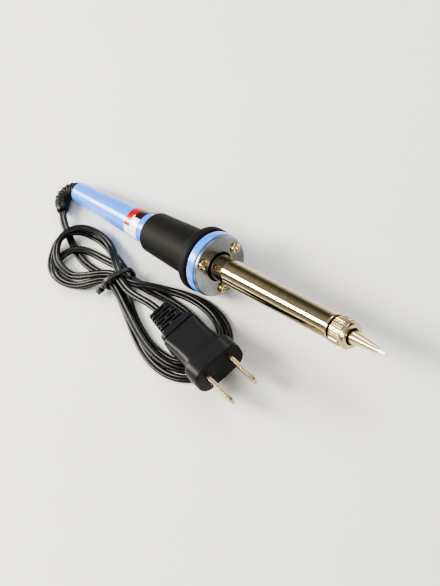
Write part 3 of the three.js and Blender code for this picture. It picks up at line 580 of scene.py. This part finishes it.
def lay_down(plan):
    """Heights for the plan, from its start on: over each run below, in low long humps."""
    count = len(plan)
    later, sooner = np.tril_indices(count, -int(OWN_REACH / STEP))
    apart = np.hypot(*(plan[later] - plan[sooner]).T)
    near = apart < BESIDE
    later, sooner, apart = later[near], sooner[near], apart[near]
    lift = ABOVE * np.sqrt(1 - (apart / BESIDE)**2)
    floor_height = np.full(count, CORD_THICKNESS / 2 + 0.05)
    from_tie = plan - np.array(TIE)
    along = from_tie @ np.array([math.cos(TIE_TURN), math.sin(TIE_TURN)])
    across = from_tie @ np.array([-math.sin(TIE_TURN), math.cos(TIE_TURN)])
    floor_height[(abs(along) < TIE_FOOT[0]) & (abs(across) < TIE_FOOT[1])] = TIE_FOOT[2]
    first, last = np.array(lead_route), np.array(tail_route)
    from_start = np.arange(count) * STEP
    at_start = from_start < run_length(first)[-1]
    to_end = from_start[::-1]
    at_end = to_end < run_length(last)[-1]
    start_height = np.interp(from_start[at_start], run_length(first), first[:, 2])
    window = np.arange(-HUMP, HUMP + 1)
    bridge = (window * STEP)**2 / (2 * HUMP_RADIUS)
    ease = np.hanning(9)[1:-1] / np.hanning(9)[1:-1].sum()
    height = floor_height.copy()
    for layer in range(LAYERS):
        needed = floor_height.copy()
        np.maximum.at(needed, later, height[sooner] + lift)
        needed[at_start] = start_height
        wide = np.pad(needed, HUMP, mode="edge")
        humps = np.max([wide[HUMP + s:HUMP + s + count] - b for s, b in zip(window, bridge)], axis=0)
        height = np.convolve(np.pad(humps, 3, mode="edge"), ease, "valid")
        height[at_start] = start_height
    height[at_end] = np.interp(run_length(last)[-1] - to_end[at_end], run_length(last), last[:, 2])
    for again in range(TAIL_ROUNDS):
        ease_once(height[-TAIL_POINTS:])
    return np.column_stack([plan, height])


cord_line = lay_down(plan) * MM

# %% [markdown]
# Two-core flex is two round cores moulded together, with a groove along each side. Its outline is
# two overlapping circles. It is swept along the line as a mesh, and lies flat, with a slow twist of
# a few degrees, because a sharp or random twist would look torn.

# %% Sweep the lead
CORE_PLACE = 0.8       # each core's middle, with a core of 1 mm radius


def double_core(sides=11):
    reach = math.acos(-CORE_PLACE)
    half = [(CORE_PLACE + math.cos(a), math.sin(a)) for a in np.linspace(-reach, reach, sides)]
    return half[:-1] + [(-x, -y) for x, y in half[:-1]]


def directions(line):
    ahead = np.gradient(line, axis=0)
    return ahead / np.linalg.norm(ahead, axis=1)[:, None]


def sweep_flat(line, outline, twist):
    """Rings of an outline in millimetres along a line in metres, level except for the twist."""
    rings = []
    for place, forward, a in zip(line, directions(line), twist):
        side = np.cross((0, 0, 1), forward)
        side /= np.linalg.norm(side)
        up = np.cross(forward, side)
        c, s = math.cos(a), math.sin(a)
        rings.append([tuple(place + MM * (x * (side * c + up * s) + y * (up * c - side * s)))
                      for x, y in outline])
    return rings


wander = np.arange(len(cord_line)) * STEP
cord_twist = np.radians(9 * np.sin(wander / 37) + 7 * np.sin(wander / 23 + 1.3))
folded_lead = make_piece("folded_lead", *skin(sweep_flat(cord_line, double_core(), cord_twist)), smooth=60)

# %% [markdown]
# ## The tie
# A plastic-coated wire goes twice round the middle of the hank, and its two ends are twisted
# together at the side. One tube along a line does it: out of the twist, round twice, and back.

# %% Tie
TIE_HALF, TIE_MIDDLE, TIE_TALL = 7.0, 5.0, 4.3       # half its width, its middle's height, half its height
TIE_SIDE = -0.6        # how far it sits to one side
TIE_SQUARE = 0.72      # 1 would make each turn an ellipse
TIE_PITCH = 1.7        # from the first turn to the end of the second
TIE_WIRE = 0.75        # the wire's radius
TWIST_FROM, TWIST_RADIUS, TWIST_TURN, TWIST_STEP = -7.8, 0.8, 0.75, 0.62


def squared(value):
    return math.copysign(abs(value)**TIE_SQUARE, value)


def tie_line():
    two_turns = 4 * math.pi
    line = []
    for t in np.linspace(0, two_turns, 89):
        a = math.pi + t
        line.append((-TIE_PITCH / 2 + TIE_PITCH * t / two_turns, TIE_HALF * squared(math.cos(a)) + TIE_SIDE,
                     TIE_MIDDLE + TIE_TALL * squared(math.sin(a))))
    ends = []
    for sign in (-1, 1):
        ends.append([(sign * TWIST_RADIUS * math.cos(k * TWIST_TURN), TWIST_FROM - TWIST_STEP * k,
                      max(5.1 - 0.3 * k + sign * TWIST_RADIUS * math.sin(k * TWIST_TURN), 0.85))
                     for k in range(1, 8)])
    line = ends[0][::-1] + line + ends[1]
    return np.array([(*at_tie(u, v), z) for u, v, z in line]) * MM


def sweep_round(name, line, radii, sides=12):
    """A round tube along any line, its frame carried from point to point so that it can't flip."""
    ahead = directions(line)
    side = np.cross(ahead[0], (0.3, 0.5, 0.81))
    rings = []
    for place, forward, radius in zip(line, ahead, radii):
        side = side - forward * side.dot(forward)
        side /= np.linalg.norm(side)
        other = np.cross(forward, side)
        rings.append([tuple(place + radius * MM * (side * math.cos(a) + other * math.sin(a)))
                      for a in circle(sides)])
    return make_piece(name, *skin(rings), smooth=60)


tie_path = tie_line()
wire_tie = sweep_round("wire_tie", tie_path, [TIE_WIRE] * len(tie_path))

# %% [markdown]
# ## The handle, its grip and its label
# The handle is one injection-moulded shell of glossy light-blue plastic: a slow taper with a
# rounded rear end and a wide flange in front. A turned outline gives it. The rubber grip is pulled
# over it, and ends in a curved flare and a rounded rim just behind the blue flange. The label is a
# thin printed film wrapped most of the way round.

# %% Handle and grip
REAR_RADIUS, TAPER, CAD_LENGTH = 4.6, 0.0535, 100
END, GRIP_REAR, FLARE = -98.8, -43, -13.9            # places along X
FLANGE_REAR, FLANGE_RADIUS = -4.4, 14.3
RIM_FRONT, RIM_RADIUS, RUBBER = -4.7, 14.75, 1.65


def handle_radius(x):
    return REAR_RADIUS + TAPER * (x + CAD_LENGTH)


handle = lathe("blue_handle", [
    (END, 2.7), (END, 4.66, 0.8), (GRIP_REAR, handle_radius(GRIP_REAR)),
    (FLANGE_REAR, handle_radius(FLANGE_REAR)), (FLANGE_REAR, FLANGE_RADIUS, 0.5), (0, FLANGE_RADIUS, 0.7),
    (0, 8.6, 0.3), (-2.6, 8.6), (-2.6, 6.4), (-13.5, 6.4), (GRIP_REAR, handle_radius(GRIP_REAR) - 1.6),
    (-96.8, handle_radius(-96.8) - 1.6), (-96.8, 2.7)])
flare = [(FLARE + 4.2 * t, handle_radius(FLARE) + RUBBER + 2.95 * t**2.3) for t in np.linspace(0, 1, 9)]
grip = lathe("rubber_grip", [
    (GRIP_REAR, handle_radius(GRIP_REAR) + 0.1), (GRIP_REAR, handle_radius(GRIP_REAR) + RUBBER, 1.25), *flare,
    (-9.75, RIM_RADIUS, 1.0), (RIM_FRONT, RIM_RADIUS, 1.7), (RIM_FRONT, handle_radius(RIM_FRONT) + 0.3)])

# %% Label
LABEL_REAR, LABEL_WIDTH = -56.5, 9
LABEL_START, LABEL_SPAN = -20, 192     # degrees round the handle
FILM = (0.05, 0.26)    # its underside and its top above the handle
FILM_EDGE = 0.08       # how much lower its top is along the edges


def label_film(around=60, along=8):
    points, faces, spots = [], [], []
    for layer in FILM:
        for i in range(along + 1):
            x = LABEL_REAR + LABEL_WIDTH * i / along
            for k in range(around + 1):
                a = math.radians(LABEL_START + LABEL_SPAN * k / around)
                at_edge = layer == FILM[1] and (i in (0, along) or k in (0, around))
                r = handle_radius(x) + layer - (FILM_EDGE if at_edge else 0)
                points.append(iron_frame @ Vector(round_x(x, r, a)))
                spots.append((i / along, k / around))
    row, layer = around + 1, (around + 1) * (along + 1)
    for i in range(along):
        for k in range(around):
            a = i * row + k
            faces.append((a, a + 1, a + row + 1, a + row))
            faces.append((layer + a, layer + a + row, layer + a + row + 1, layer + a + 1))
    rim = list(range(row)) + [i * row + around for i in range(1, along + 1)]
    rim += [along * row + k for k in range(around - 1, -1, -1)] + [i * row for i in range(along - 1, 0, -1)]
    faces += [(a, layer + a, layer + b, b) for a, b in zip(rim, rim[1:] + rim[:1])]
    film = make_piece("label_film", points, faces)
    uv = film.data.uv_layers.new(name="round_the_handle")
    for loop in film.data.loops:
        uv.data[loop.index].uv = spots[loop.vertex_index]
    return film


label = label_film()

# %% [markdown]
# ## The plate and its screws
# A steel disc closes the handle's front. Three pan-head screws with a cross recess hold it, a third
# of a turn apart. One head is modelled, its recess cut with a boolean, and a small geometry tree
# sets a copy on each point of a circle.

# %% Plate
plate = lathe("flange_disc", [(0.25, 6.7), (0.25, 13.8), (1.5, 13.8, 0.35), (1.5, 6.7, 0.3)], segments=128)

# %% One screw head
RECESS_TURN = 27       # degrees


def screw_head():
    head = [(0, 0), (0, 2.5, 0.2), (0.75, 2.5, 0.5), (1.45, 1.75, 0.9), (1.7, 0)]
    solid = make_piece("pan_head", *skin([[round_x(x, r, a) for a in circle(40)] for x, r in rounded(head)],
                                         ends=False))
    slots = []
    for quarter in (0, 90):
        slot = make_piece("slot", *skin([
            [(x * MM, y * MM, z * MM) for y, z in ((-w, -s), (w, -s), (w, s), (-w, s))]
            for x, w, s in ((0.55, 0.22, 0.75), (1.0, 0.34, 1.15), (2.2, 0.44, 1.5))]))
        slot.data.transform(Matrix.Rotation(math.radians(quarter + RECESS_TURN), 4, "X"))
        slots.append(slot)
    cross = join_pieces("cross", *slots)
    recess = solid.modifiers.new("recess", "BOOLEAN")
    recess.operation, recess.object, recess.solver, recess.use_self = "DIFFERENCE", cross, "EXACT", True
    done = final_mesh(solid)
    bpy.data.objects.remove(cross)
    return done


head_mesh = screw_head()
print("screw head:", len(head_mesh.polygons), "faces")

# %% [markdown]
# The tree is short: a circle of points, the head on each one, everything turned so that the circle
# faces along X and moved to the plate. The same tree serves the knurl, whose ribs also stand on a
# circle.

# %% Tree: copies round a shaft
ring_tree, ring_in = start_tree("copies_round_a_shaft", {
    "Count": "Int", "Radius": "Float", "Start Angle": "Float", "Place": "Vector", "Lean": "Float"})
row = put(ring_tree, "GeometryNodeMeshLine", {"Count": (ring_in, "Count"), "Offset": (0, 0, 0)},
          mode="OFFSET")
number = put(ring_tree, "GeometryNodeInputIndex")
share = put(ring_tree, "ShaderNodeMath", {0: (number, 0), 1: (ring_in, "Count")}, operation="DIVIDE")
full_turn = put(ring_tree, "ShaderNodeMath", {0: (share, 0), 1: 2 * math.pi, 2: (ring_in, "Start Angle")},
                operation="MULTIPLY_ADD")
angle_x = put(ring_tree, "ShaderNodeCombineXYZ", {"X": (full_turn, 0)})
outwards = put(ring_tree, "ShaderNodeCombineXYZ", {"Y": (ring_in, "Radius")})
turned_out = put(ring_tree, "ShaderNodeVectorRotate", {"Vector": (outwards, 0), "Rotation": (angle_x, 0)},
                 rotation_type="EULER_XYZ")
spread = put(ring_tree, "GeometryNodeSetPosition", {"Geometry": (row, 0), "Position": (turned_out, 0)})
copies = put(ring_tree, "GeometryNodeInstanceOnPoints", {
    "Points": (spread, 0), "Instance": (ring_in, "Geometry"), "Rotation": (angle_x, 0)})
lean = put(ring_tree, "ShaderNodeCombineXYZ", {"Y": (ring_in, "Lean")})
placed = put(ring_tree, "GeometryNodeTransform", {
    "Geometry": (copies, 0), "Translation": (ring_in, "Place"), "Rotation": (lean, 0)})
end_tree(ring_tree, ring_in, placed)

# %% Screws on the plate
def on_axis(x):
    return tuple(iron_frame @ Vector((x * MM, 0, 0)))


screws = grow("plate_screws", head_mesh, ring_tree, {
    "Finish": finishes["screw_steel"], "Count": 3, "Radius": 10.5 * MM, "Start Angle": math.radians(4),
    "Place": on_axis(1.55), "Lean": -tilt})

# %% [markdown]
# ## The barrel, the nut and the tip
# The barrel is a thin polished steel tube that runs from the plate to the nut. Its front edge is
# rolled over, which gives a bright ring before the dark gap. The nut is turned from bar, knurled
# with straight ribs, and has a groove and a smooth chamfered front with a hole for the tip.

# %% Barrel
barrel = lathe("steel_barrel", [
    (-2.3, 5.95), (73.3, 5.95, 0.1), (73.5, 6.12, 0.1), (74.5, 6.12, 0.3), (74.5, 5.2, 0.2), (73.2, 5.2),
    (73.2, 5.45), (-2.3, 5.45)])

# %% Nut
NUT_REAR, NUT_CORE, NUT_RIBS = 75.4, 5.5, 36
nut_body = lathe("nut_turned", [
    (NUT_REAR, 5.0), (NUT_REAR, NUT_CORE, 0.2), (81.7, NUT_CORE, 0.1), (81.9, 5.1, 0.1), (82.4, 5.2, 0.1),
    (82.5, 6.05, 0.25), (83.3, 6.05, 0.3), (84.2, 5.3, 0.3), (84.2, 3.75, 0.2), (81.6, 3.75), (81.6, 5.0)])


def knurl_rib():
    """One straight rib, 0.7 mm high, with rounded ends."""
    rings = []
    for x, high in ((0.1, 0.3), (0.35, 0.6), (0.7, 0.7), (5.5, 0.7), (5.9, 0.6), (6.2, 0.3)):
        half = [(-0.2, -0.3), (high * 0.8, -0.22), (high, -0.08)]
        rings.append([(x * MM, y * MM, z * MM) for y, z in half + [(y, -z) for y, z in half[::-1]]])
    return bare_mesh(make_piece("rib", *skin(rings), smooth=50))


ribs = grow("nut_ribs", knurl_rib(), ring_tree, {
    "Finish": finishes["nut_chrome"], "Count": NUT_RIBS, "Radius": NUT_CORE * MM, "Start Angle": 0.0,
    "Place": on_axis(NUT_REAR), "Lean": -tilt}, smooth=50)
nut = join_pieces("nut_turned", nut_body, ribs)

# %% Tip
tip = lathe("plated_tip", [
    (32.2, 0), (32.2, 3.0, 0.5), (85.2, 3.0, 0.6), (87, 2.78), (92, 2.2), (98, 1.45), (101, 1.06),
    (104.2, 0.6, 0.3), (104.6, 0)], segments=72, closed=False)

# %% [markdown]
# ## The boot
# The strain relief boot is a thick ribbed rubber tube. It leaves the handle's end and the lead's
# weight has bent it right back. Its middle line is drawn once. A smooth tapered core follows it,
# and a geometry tree sets a rounded rib at each step along the same line, turned to face along it.

# %% Boot core
BOOT_START, BOOT_STRAIGHT, BOOT_TAIL = -94.8, 4.8, 6
BOOT_RADIUS, BOOT_BEND = 4.6, math.radians(138)
boot_length = BOOT_STRAIGHT + BOOT_RADIUS * BOOT_BEND + BOOT_TAIL


def boot_point(s):
    """A point s millimetres along the boot's middle line, which starts inside the handle."""
    bent = min(max(s - BOOT_STRAIGHT, 0) / BOOT_RADIUS, BOOT_BEND)
    past = max(s - BOOT_STRAIGHT - BOOT_RADIUS * BOOT_BEND, 0)
    x = BOOT_START - min(s, BOOT_STRAIGHT) - BOOT_RADIUS * math.sin(bent) - past * math.cos(BOOT_BEND)
    y = -BOOT_RADIUS * (1 - math.cos(bent)) - past * math.sin(BOOT_BEND)
    return iron_frame @ (Vector((x, y, 0)) * MM)


boot_stops = np.linspace(0, boot_length, 90)
boot_radii = np.interp(boot_stops, [0, 4.0, 4.6, boot_length - 3.5, boot_length - 1, boot_length],
                       [2.3, 2.3, 3.6, 3.0, 2.9, 2.4])
boot_core = sweep_round("boot_core", np.array([boot_point(s) for s in boot_stops]), boot_radii, sides=40)
print("boot:", round(boot_length, 1), "mm long")

# %% Tree: ribs along a line
along_tree, along_in = start_tree("ribs_along_a_line", {
    "Count": "Int", "Radius": "Float", "Last Scale": "Float", "Rib Radius": "Float"})
as_curve = put(along_tree, "GeometryNodeMeshToCurve", {"Mesh": (along_in, "Geometry")})
stops = put(along_tree, "GeometryNodeResampleCurve", {"Curve": (as_curve, 0), "Count": (along_in, "Count")})
facing = put(along_tree, "GeometryNodeInputTangent")
face_along = put(along_tree, "FunctionNodeAlignEulerToVector", {"Vector": (facing, 0)}, axis="Z")
middle = put(along_tree, "GeometryNodeCurvePrimitiveCircle", {
    "Resolution": 40, "Radius": (along_in, "Radius")})
section = put(along_tree, "GeometryNodeCurvePrimitiveCircle", {
    "Resolution": 12, "Radius": (along_in, "Rib Radius")})
rib_ring = put(along_tree, "GeometryNodeCurveToMesh", {"Curve": (middle, 0), "Profile Curve": (section, 0)})
how_far = put(along_tree, "GeometryNodeSplineParameter")
narrower = put(along_tree, "ShaderNodeMapRange", {
    "Value": (how_far, "Factor"), "To Min": 1.0, "To Max": (along_in, "Last Scale")})
rib_copies = put(along_tree, "GeometryNodeInstanceOnPoints", {
    "Points": (stops, 0), "Instance": (rib_ring, 0), "Rotation": (face_along, 0), "Scale": (narrower, 0)})
end_tree(along_tree, along_in, rib_copies)

# %% Boot ribs
RIB_STOPS = 40         # points of the line that the ribs follow
rib_path = bpy.data.meshes.new("rib_path")
rib_path.from_pydata([tuple(boot_point(s)) for s in np.linspace(5.6, boot_length - 4.0, RIB_STOPS)],
                     [(i, i + 1) for i in range(RIB_STOPS - 1)], [])
boot_ribs = grow("boot_ribs", rib_path, along_tree, {
    "Finish": finishes["boot_rubber"], "Count": 8, "Radius": 3.25 * MM, "Last Scale": 0.88,
    "Rib Radius": 0.72 * MM}, smooth=60)
boot = join_pieces("ribbed_boot", boot_core, boot_ribs)

# %% [markdown]
# ## The plug
# The plug is one moulding of soft black vinyl over the blades: a wide rounded front to pull on, a
# waist, a collar, and a strain relief of short bars with slots between them. A loft of rounded
# rectangles gives the body. The record states where the plug's front is and which way it faces.

# %% Plug frame and outline
plug_mount = next(m for m in frame["record"]["mounts"] if m["name"] == "plug_front")
plug_ahead = Vector(plug_mount["axis"]).normalized()
plug_heading = math.atan2(plug_ahead.y, plug_ahead.x)
plug_frame = Matrix.Translation(Vector(plug_mount["pos_m"])) @ Matrix.Rotation(plug_heading, 4, "Z")
print("plug heading:", round(math.degrees(plug_heading), 1))


def rounded_rectangle(half_wide, half_tall, radius, steps=9):
    ring = []
    for corner in range(4):
        cx = (half_wide - radius) * (1 if corner in (0, 3) else -1)
        cy = (half_tall - radius) * (1 if corner in (0, 1) else -1)
        for k in range(steps):
            a = math.pi / 2 * (corner + k / (steps - 1))
            ring.append((cx + radius * math.cos(a), cy + radius * math.sin(a)))
    return ring


def between(stations, per=6):
    """More stations between the given ones, on a smooth curve, so that the waist flows."""
    given = np.array(stations, float)
    out = []
    for i in range(len(given) - 1):
        a, b = given[max(i - 1, 0)], given[i]
        c, d = given[i + 1], given[min(i + 2, len(given) - 1)]
        for t in np.linspace(0, 1, per, endpoint=False):
            out.append(0.5 * (2 * b + (c - a) * t + (2 * a - 5 * b + 4 * c - d) * t**2
                              + (3 * b - a - 3 * c + d) * t**3))
    return [tuple(s) for s in out + [given[-1]]]

# %% Plug body
# each station is a place along the plug, half its width, half its thickness and its corner's radius
front = [(0.0, 11.2, 6.1, 4.6), (-0.12, 11.75, 6.6, 5.0), (-0.5, 12.1, 6.88, 5.3), (-1.1, 12.25, 7.0, 5.4),
         (-7.2, 12.25, 7.0, 5.2), (-8.0, 12.15, 6.95, 4.9)]
waist = between([(-8.6, 11.9, 6.8, 4.6), (-9.8, 10.6, 6.6, 4.2), (-11.6, 9.75, 6.4, 3.6), (-17, 9.2, 6.2, 3.0),
                 (-23, 9.15, 6.05, 2.6), (-26.6, 9.35, 6.0, 2.4)])
collar = [(-27.2, 9.1, 5.8, 2.3), (-27.5, 8.6, 5.3, 2.0), (-27.75, 7.6, 4.6, 1.8), (-27.95, 7.5, 4.5, 1.8),
          (-28.15, 8.0, 5.0, 1.9), (-28.5, 8.35, 5.35, 2.0), (-30.9, 8.2, 5.25, 2.0), (-31.3, 7.8, 4.9, 1.9)]
relief_core = [(-31.5, 7.0, 4.3, 1.7), (-31.6, 5.0, 3.2, 1.5), (-38, 4.4, 2.9, 1.5), (-45.0, 3.6, 2.4, 1.4),
               (-45.3, 3.2, 2.0, 1.2)]
plug_body = make_piece("moulded_plug", *skin([
    [plug_frame @ Vector((x * MM, y * MM, z * MM)) for y, z in rounded_rectangle(wide, tall, corner)]
    for x, wide, tall, corner in front + waist + collar + relief_core]), smooth=40)

# %% [markdown]
# The strain relief is a row of short bars with gaps, and links join each bar to the next, by turns
# in the middle and at both sides, so that it bends. All of them are copies of rounded slabs in a row
# that gets narrower to the rear.

# %% Tree: bars in a row
bar_tree, bar_in = start_tree("bars_in_a_row", {
    "Count": "Int", "Pitch": "Vector", "Last Scale": "Float", "Place": "Vector", "Heading": "Float"})
bar_row = put(bar_tree, "GeometryNodeMeshLine", {"Count": (bar_in, "Count"), "Offset": (bar_in, "Pitch")},
              mode="OFFSET")
bar_number = put(bar_tree, "GeometryNodeInputIndex")
last_number = put(bar_tree, "ShaderNodeMath", {0: (bar_in, "Count"), 1: 1.0}, operation="SUBTRACT")
bar_size = put(bar_tree, "ShaderNodeMapRange", {
    "Value": (bar_number, 0), "From Max": (last_number, 0), "To Min": 1.0, "To Max": (bar_in, "Last Scale")})
bar_scale = put(bar_tree, "ShaderNodeCombineXYZ", {"X": 1.0, "Y": (bar_size, 0), "Z": (bar_size, 0)})
bar_copies = put(bar_tree, "GeometryNodeInstanceOnPoints", {
    "Points": (bar_row, 0), "Instance": (bar_in, "Geometry"), "Scale": (bar_scale, 0)})
bar_turn = put(bar_tree, "ShaderNodeCombineXYZ", {"Z": (bar_in, "Heading")})
bars_placed = put(bar_tree, "GeometryNodeTransform", {
    "Geometry": (bar_copies, 0), "Translation": (bar_in, "Place"), "Rotation": (bar_turn, 0)})
end_tree(bar_tree, bar_in, bars_placed)

# %% Bars and links
BAR_PITCH = 1.98
SOFT, HALF_SOFT = 0.16, 0.06           # the width of a slab's rounded edge, and its step half way


def slab(half_wide, half_tall, long, side=0.0):
    """One rounded slab across the relief, with soft edges."""
    rings = []
    for x, inset in ((0, SOFT), (HALF_SOFT, 0.05), (SOFT, 0), (long - SOFT, 0), (long - HALF_SOFT, 0.05),
                     (long, SOFT)):
        outline = rounded_rectangle(half_wide - inset, half_tall - inset, min(1.2, half_wide * 0.8), 6)
        rings.append([(-x * MM, (y + side) * MM, z * MM) for y, z in outline])
    return bare_mesh(make_piece("slab", *skin(rings), smooth=50))


plug_pieces = [plug_body]
for name, shape, count, pitch, first in (
        ("bars", slab(6.4, 4.05, 1.2), 7, BAR_PITCH, -31.9),
        ("links_middle", slab(1.5, 3.95, 0.95), 3, 2 * BAR_PITCH, -33.05),
        ("links_left", slab(1.2, 3.95, 0.95, 4.3), 3, 2 * BAR_PITCH, -35.03),
        ("links_right", slab(1.2, 3.95, 0.95, -4.3), 3, 2 * BAR_PITCH, -35.03)):
    plug_pieces.append(grow("relief_" + name, shape, bar_tree, {
        "Finish": finishes["plug_vinyl"], "Count": count, "Pitch": (-pitch * MM, 0, 0), "Last Scale": 0.78,
        "Place": tuple(plug_frame @ Vector((first * MM, 0, 0))), "Heading": plug_heading}))
plug = join_pieces("moulded_plug", *plug_pieces)

# %% [markdown]
# The blades are stamped from flat strip: a round-nosed outline with a hole near its end, and edges
# slightly rounded by the press. A filled 2D curve with a hole, given a thickness and a small bevel,
# is the quickest way to that shape. It is made a mesh before it is put in place.

# %% Blades
HALF_SPACING = 6.35
BLADE_HALF, BLADE_ROOT, BLADE_END = 3.175, -5, 17
HALF_THICK, PRESS_EDGE = 0.63, 0.12


def blade_mesh():
    curve = bpy.data.curves.new("blade", "CURVE")
    curve.dimensions, curve.fill_mode, curve.bevel_resolution = "2D", "BOTH", 2
    curve.extrude, curve.bevel_depth, curve.offset = HALF_THICK * MM, PRESS_EDGE * MM, -PRESS_EDGE * MM
    side = [(BLADE_ROOT, BLADE_HALF), (14.6, BLADE_HALF), (16.2, 2.5), (BLADE_END, 1.5)]
    nose = [(x, -y) for x, y in side] + side[::-1]
    hole = [(13 + 1.6 * math.cos(a), 1.6 * math.sin(a)) for a in circle(24)]
    for outline in (nose, hole):
        line = curve.splines.new("POLY")
        line.points.add(len(outline) - 1)
        for point, (x, y) in zip(line.points, outline):
            point.co = (x * MM, y * MM, 0, 1)
        line.use_cyclic_u = True
    mesh = final_mesh(add_to_scene("blade", curve))
    mesh.transform(Matrix.Rotation(math.pi / 2, 4, "X"))
    return mesh


blades = []
for name, side in (("blade_1", 1), ("blade_2", -1)):
    mesh = blade_mesh()
    mesh.transform(plug_frame @ Matrix.Translation((0, side * HALF_SPACING * MM, 0)))
    blades.append(make_piece(name, [v.co for v in mesh.vertices], [tuple(p.vertices) for p in mesh.polygons],
                             smooth=30))

# %% [markdown]
# ## Hand the pieces over
# Every piece gets its finish, rides on its body and stands for its CAD nodes. Only the nut and the
# tip move. The parts hidden inside keep their CAD shapes, and get real finishes too, because they
# show when the tip is drawn out.

# %% Pieces, bodies and finishes
def hand_over(piece, slot, body, *nodes):
    piece.data.materials.clear()
    piece.data.materials.append(finishes[slot])
    for face in piece.data.polygons:
        face.material_index = 0
    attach(piece, body)
    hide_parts(*nodes)


hand_over(handle, "blue_handle", "root", "handle_shell")
hand_over(grip, "black_grip_rubber", "root", "grip_sleeve")
hand_over(label, "label_film", "root", "label_sticker")
hand_over(plate, "plate_steel", "root", "flange_plate")
hand_over(screws, "screw_steel", "root", "flange_screw_1", "flange_screw_2", "flange_screw_3")
hand_over(barrel, "barrel_chrome", "root", "barrel_tube")
hand_over(nut, "nut_chrome", "nut", "knurled_nut")
hand_over(tip, "tip_metal", "tip", "soldering_tip")
hand_over(boot, "boot_rubber", "root", "strain_relief_boot")
hand_over(folded_lead, "cord_vinyl", "root", "cord_lead", "cord_hank", "cord_tail")
hand_over(wire_tie, "tie_plastic", "root", "hank_tie")
hand_over(plug, "plug_vinyl", "root", "plug_body")
hand_over(blades[0], "blade_brass", "root", "plug_blade_1")
hand_over(blades[1], "blade_brass", "root", "plug_blade_2")

inside = {
    "fibre_board": ["fibre_washer", "cord_clip"], "bush_brass": ["barrel_bush", "tip_collet"],
    "heater_ceramic": ["heater_former"], "winding_wire": ["heater_winding"], "mica_sheet": ["mica_sleeve"],
    "glass_sleeving": ["heater_lead_1", "heater_lead_2"], "crimp_brass": ["crimp_sleeve_1", "crimp_sleeve_2"],
    "core_vinyl": ["core_wire_1", "core_wire_2"], "cord_vinyl": ["inner_cord"]}
for slot, nodes in inside.items():
    for node in nodes:
        for place in frame["nodes"][node].material_slots:
            place.material = finishes[slot]
print("handed over; inner nodes:", sum(len(nodes) for nodes in inside.values()))

# %% [markdown]
# ## Bench and light
# The bench is plain and pale. Chrome shows only what is round it, so the light matters as much as
# the finish: a broad soft box on the left gives the long highlights on the handle and the barrel, a
# second one stands behind, and a soft sky that is darker in the middle puts dark lines in the metal.

# %% Bench
bench_mesh = bpy.data.meshes.new("bench")
bench_mesh.from_pydata([(-2, -2, 0), (2, -2, 0), (2, 2, 0), (-2, 2, 0)], [], [(0, 1, 2, 3)])
bench_mesh.materials.append(moulded("pale_bench_laminate", "DEDEDA", "E6E6E3", (0.4, 0.5), 2.0, 0.004, 90,
                                    {"IOR": 1.45}))
bench = add_to_scene("bench", bench_mesh)

# %% Lights
def soft_box(name, direction, distance, size, power, tint="FFFFFF"):
    """An area light that faces the iron, its long side along the iron."""
    light = bpy.data.lights.new(name, "AREA")
    light.shape, light.size, light.size_y = "RECTANGLE", size[0], size[1]
    light.energy, light.color = power, colour(tint)[:3]
    towards = Vector(direction).normalized()
    across = towards.cross(Vector((1, 0, 0))).normalized()
    turned = Matrix((across.cross(towards), across, towards)).transposed().to_4x4()
    add_to_scene(name, light).matrix_world = Matrix.Translation(towards * distance) @ turned
    print(name + ":", power, "W at", distance, "m")


soft_box("long_box", (-0.67, -0.45, 0.57), 0.9, (0.9, 0.26), 22, "FFFAEC")
soft_box("back_box", (-0.3, 0.75, 0.9), 1.2, (0.9, 0.5), 9)
soft_box("front_box", (0.7, -0.7, 0.8), 1.3, (0.5, 0.5), 6)

# %% Sky
SKY_STRENGTH = 0.9
world = bpy.data.worlds.new("soft_room")
bpy.context.scene.world = world
world.use_nodes = True
sky = world.node_tree
sky.nodes.clear()
sky_place = put(sky, "ShaderNodeTexCoord")
sky_parts = put(sky, "ShaderNodeSeparateXYZ", {"Vector": (sky_place, "Generated")})
sky_ramp = put(sky, "ShaderNodeValToRGB", {"Fac": (sky_parts, "Z")})
ramp = sky_ramp.color_ramp
ramp.elements[0].position, ramp.elements[0].color = 0.0, colour("F2F1EC")
ramp.elements[1].position, ramp.elements[1].color = 1.0, colour("F6F6F4")
for position, shade in ((0.18, "B9B6AE"), (0.34, "4A4843"), (0.55, "77746D"), (0.75, "E8E8E6")):
    ramp.elements.new(position).color = colour(shade)
sky_light = put(sky, "ShaderNodeBackground", {"Color": (sky_ramp, "Color"), "Strength": SKY_STRENGTH})
put(sky, "ShaderNodeOutputWorld", {"Surface": (sky_light, 0)})
print("sky shades:", len(ramp.elements))

# %% [markdown]
# Black vinyl beside a pale bench needs more contrast than the default view gives, or it turns grey.

# %% Contrast
bpy.context.scene.view_settings.look = "AgX - Medium High Contrast"
print("look:", bpy.context.scene.view_settings.look)
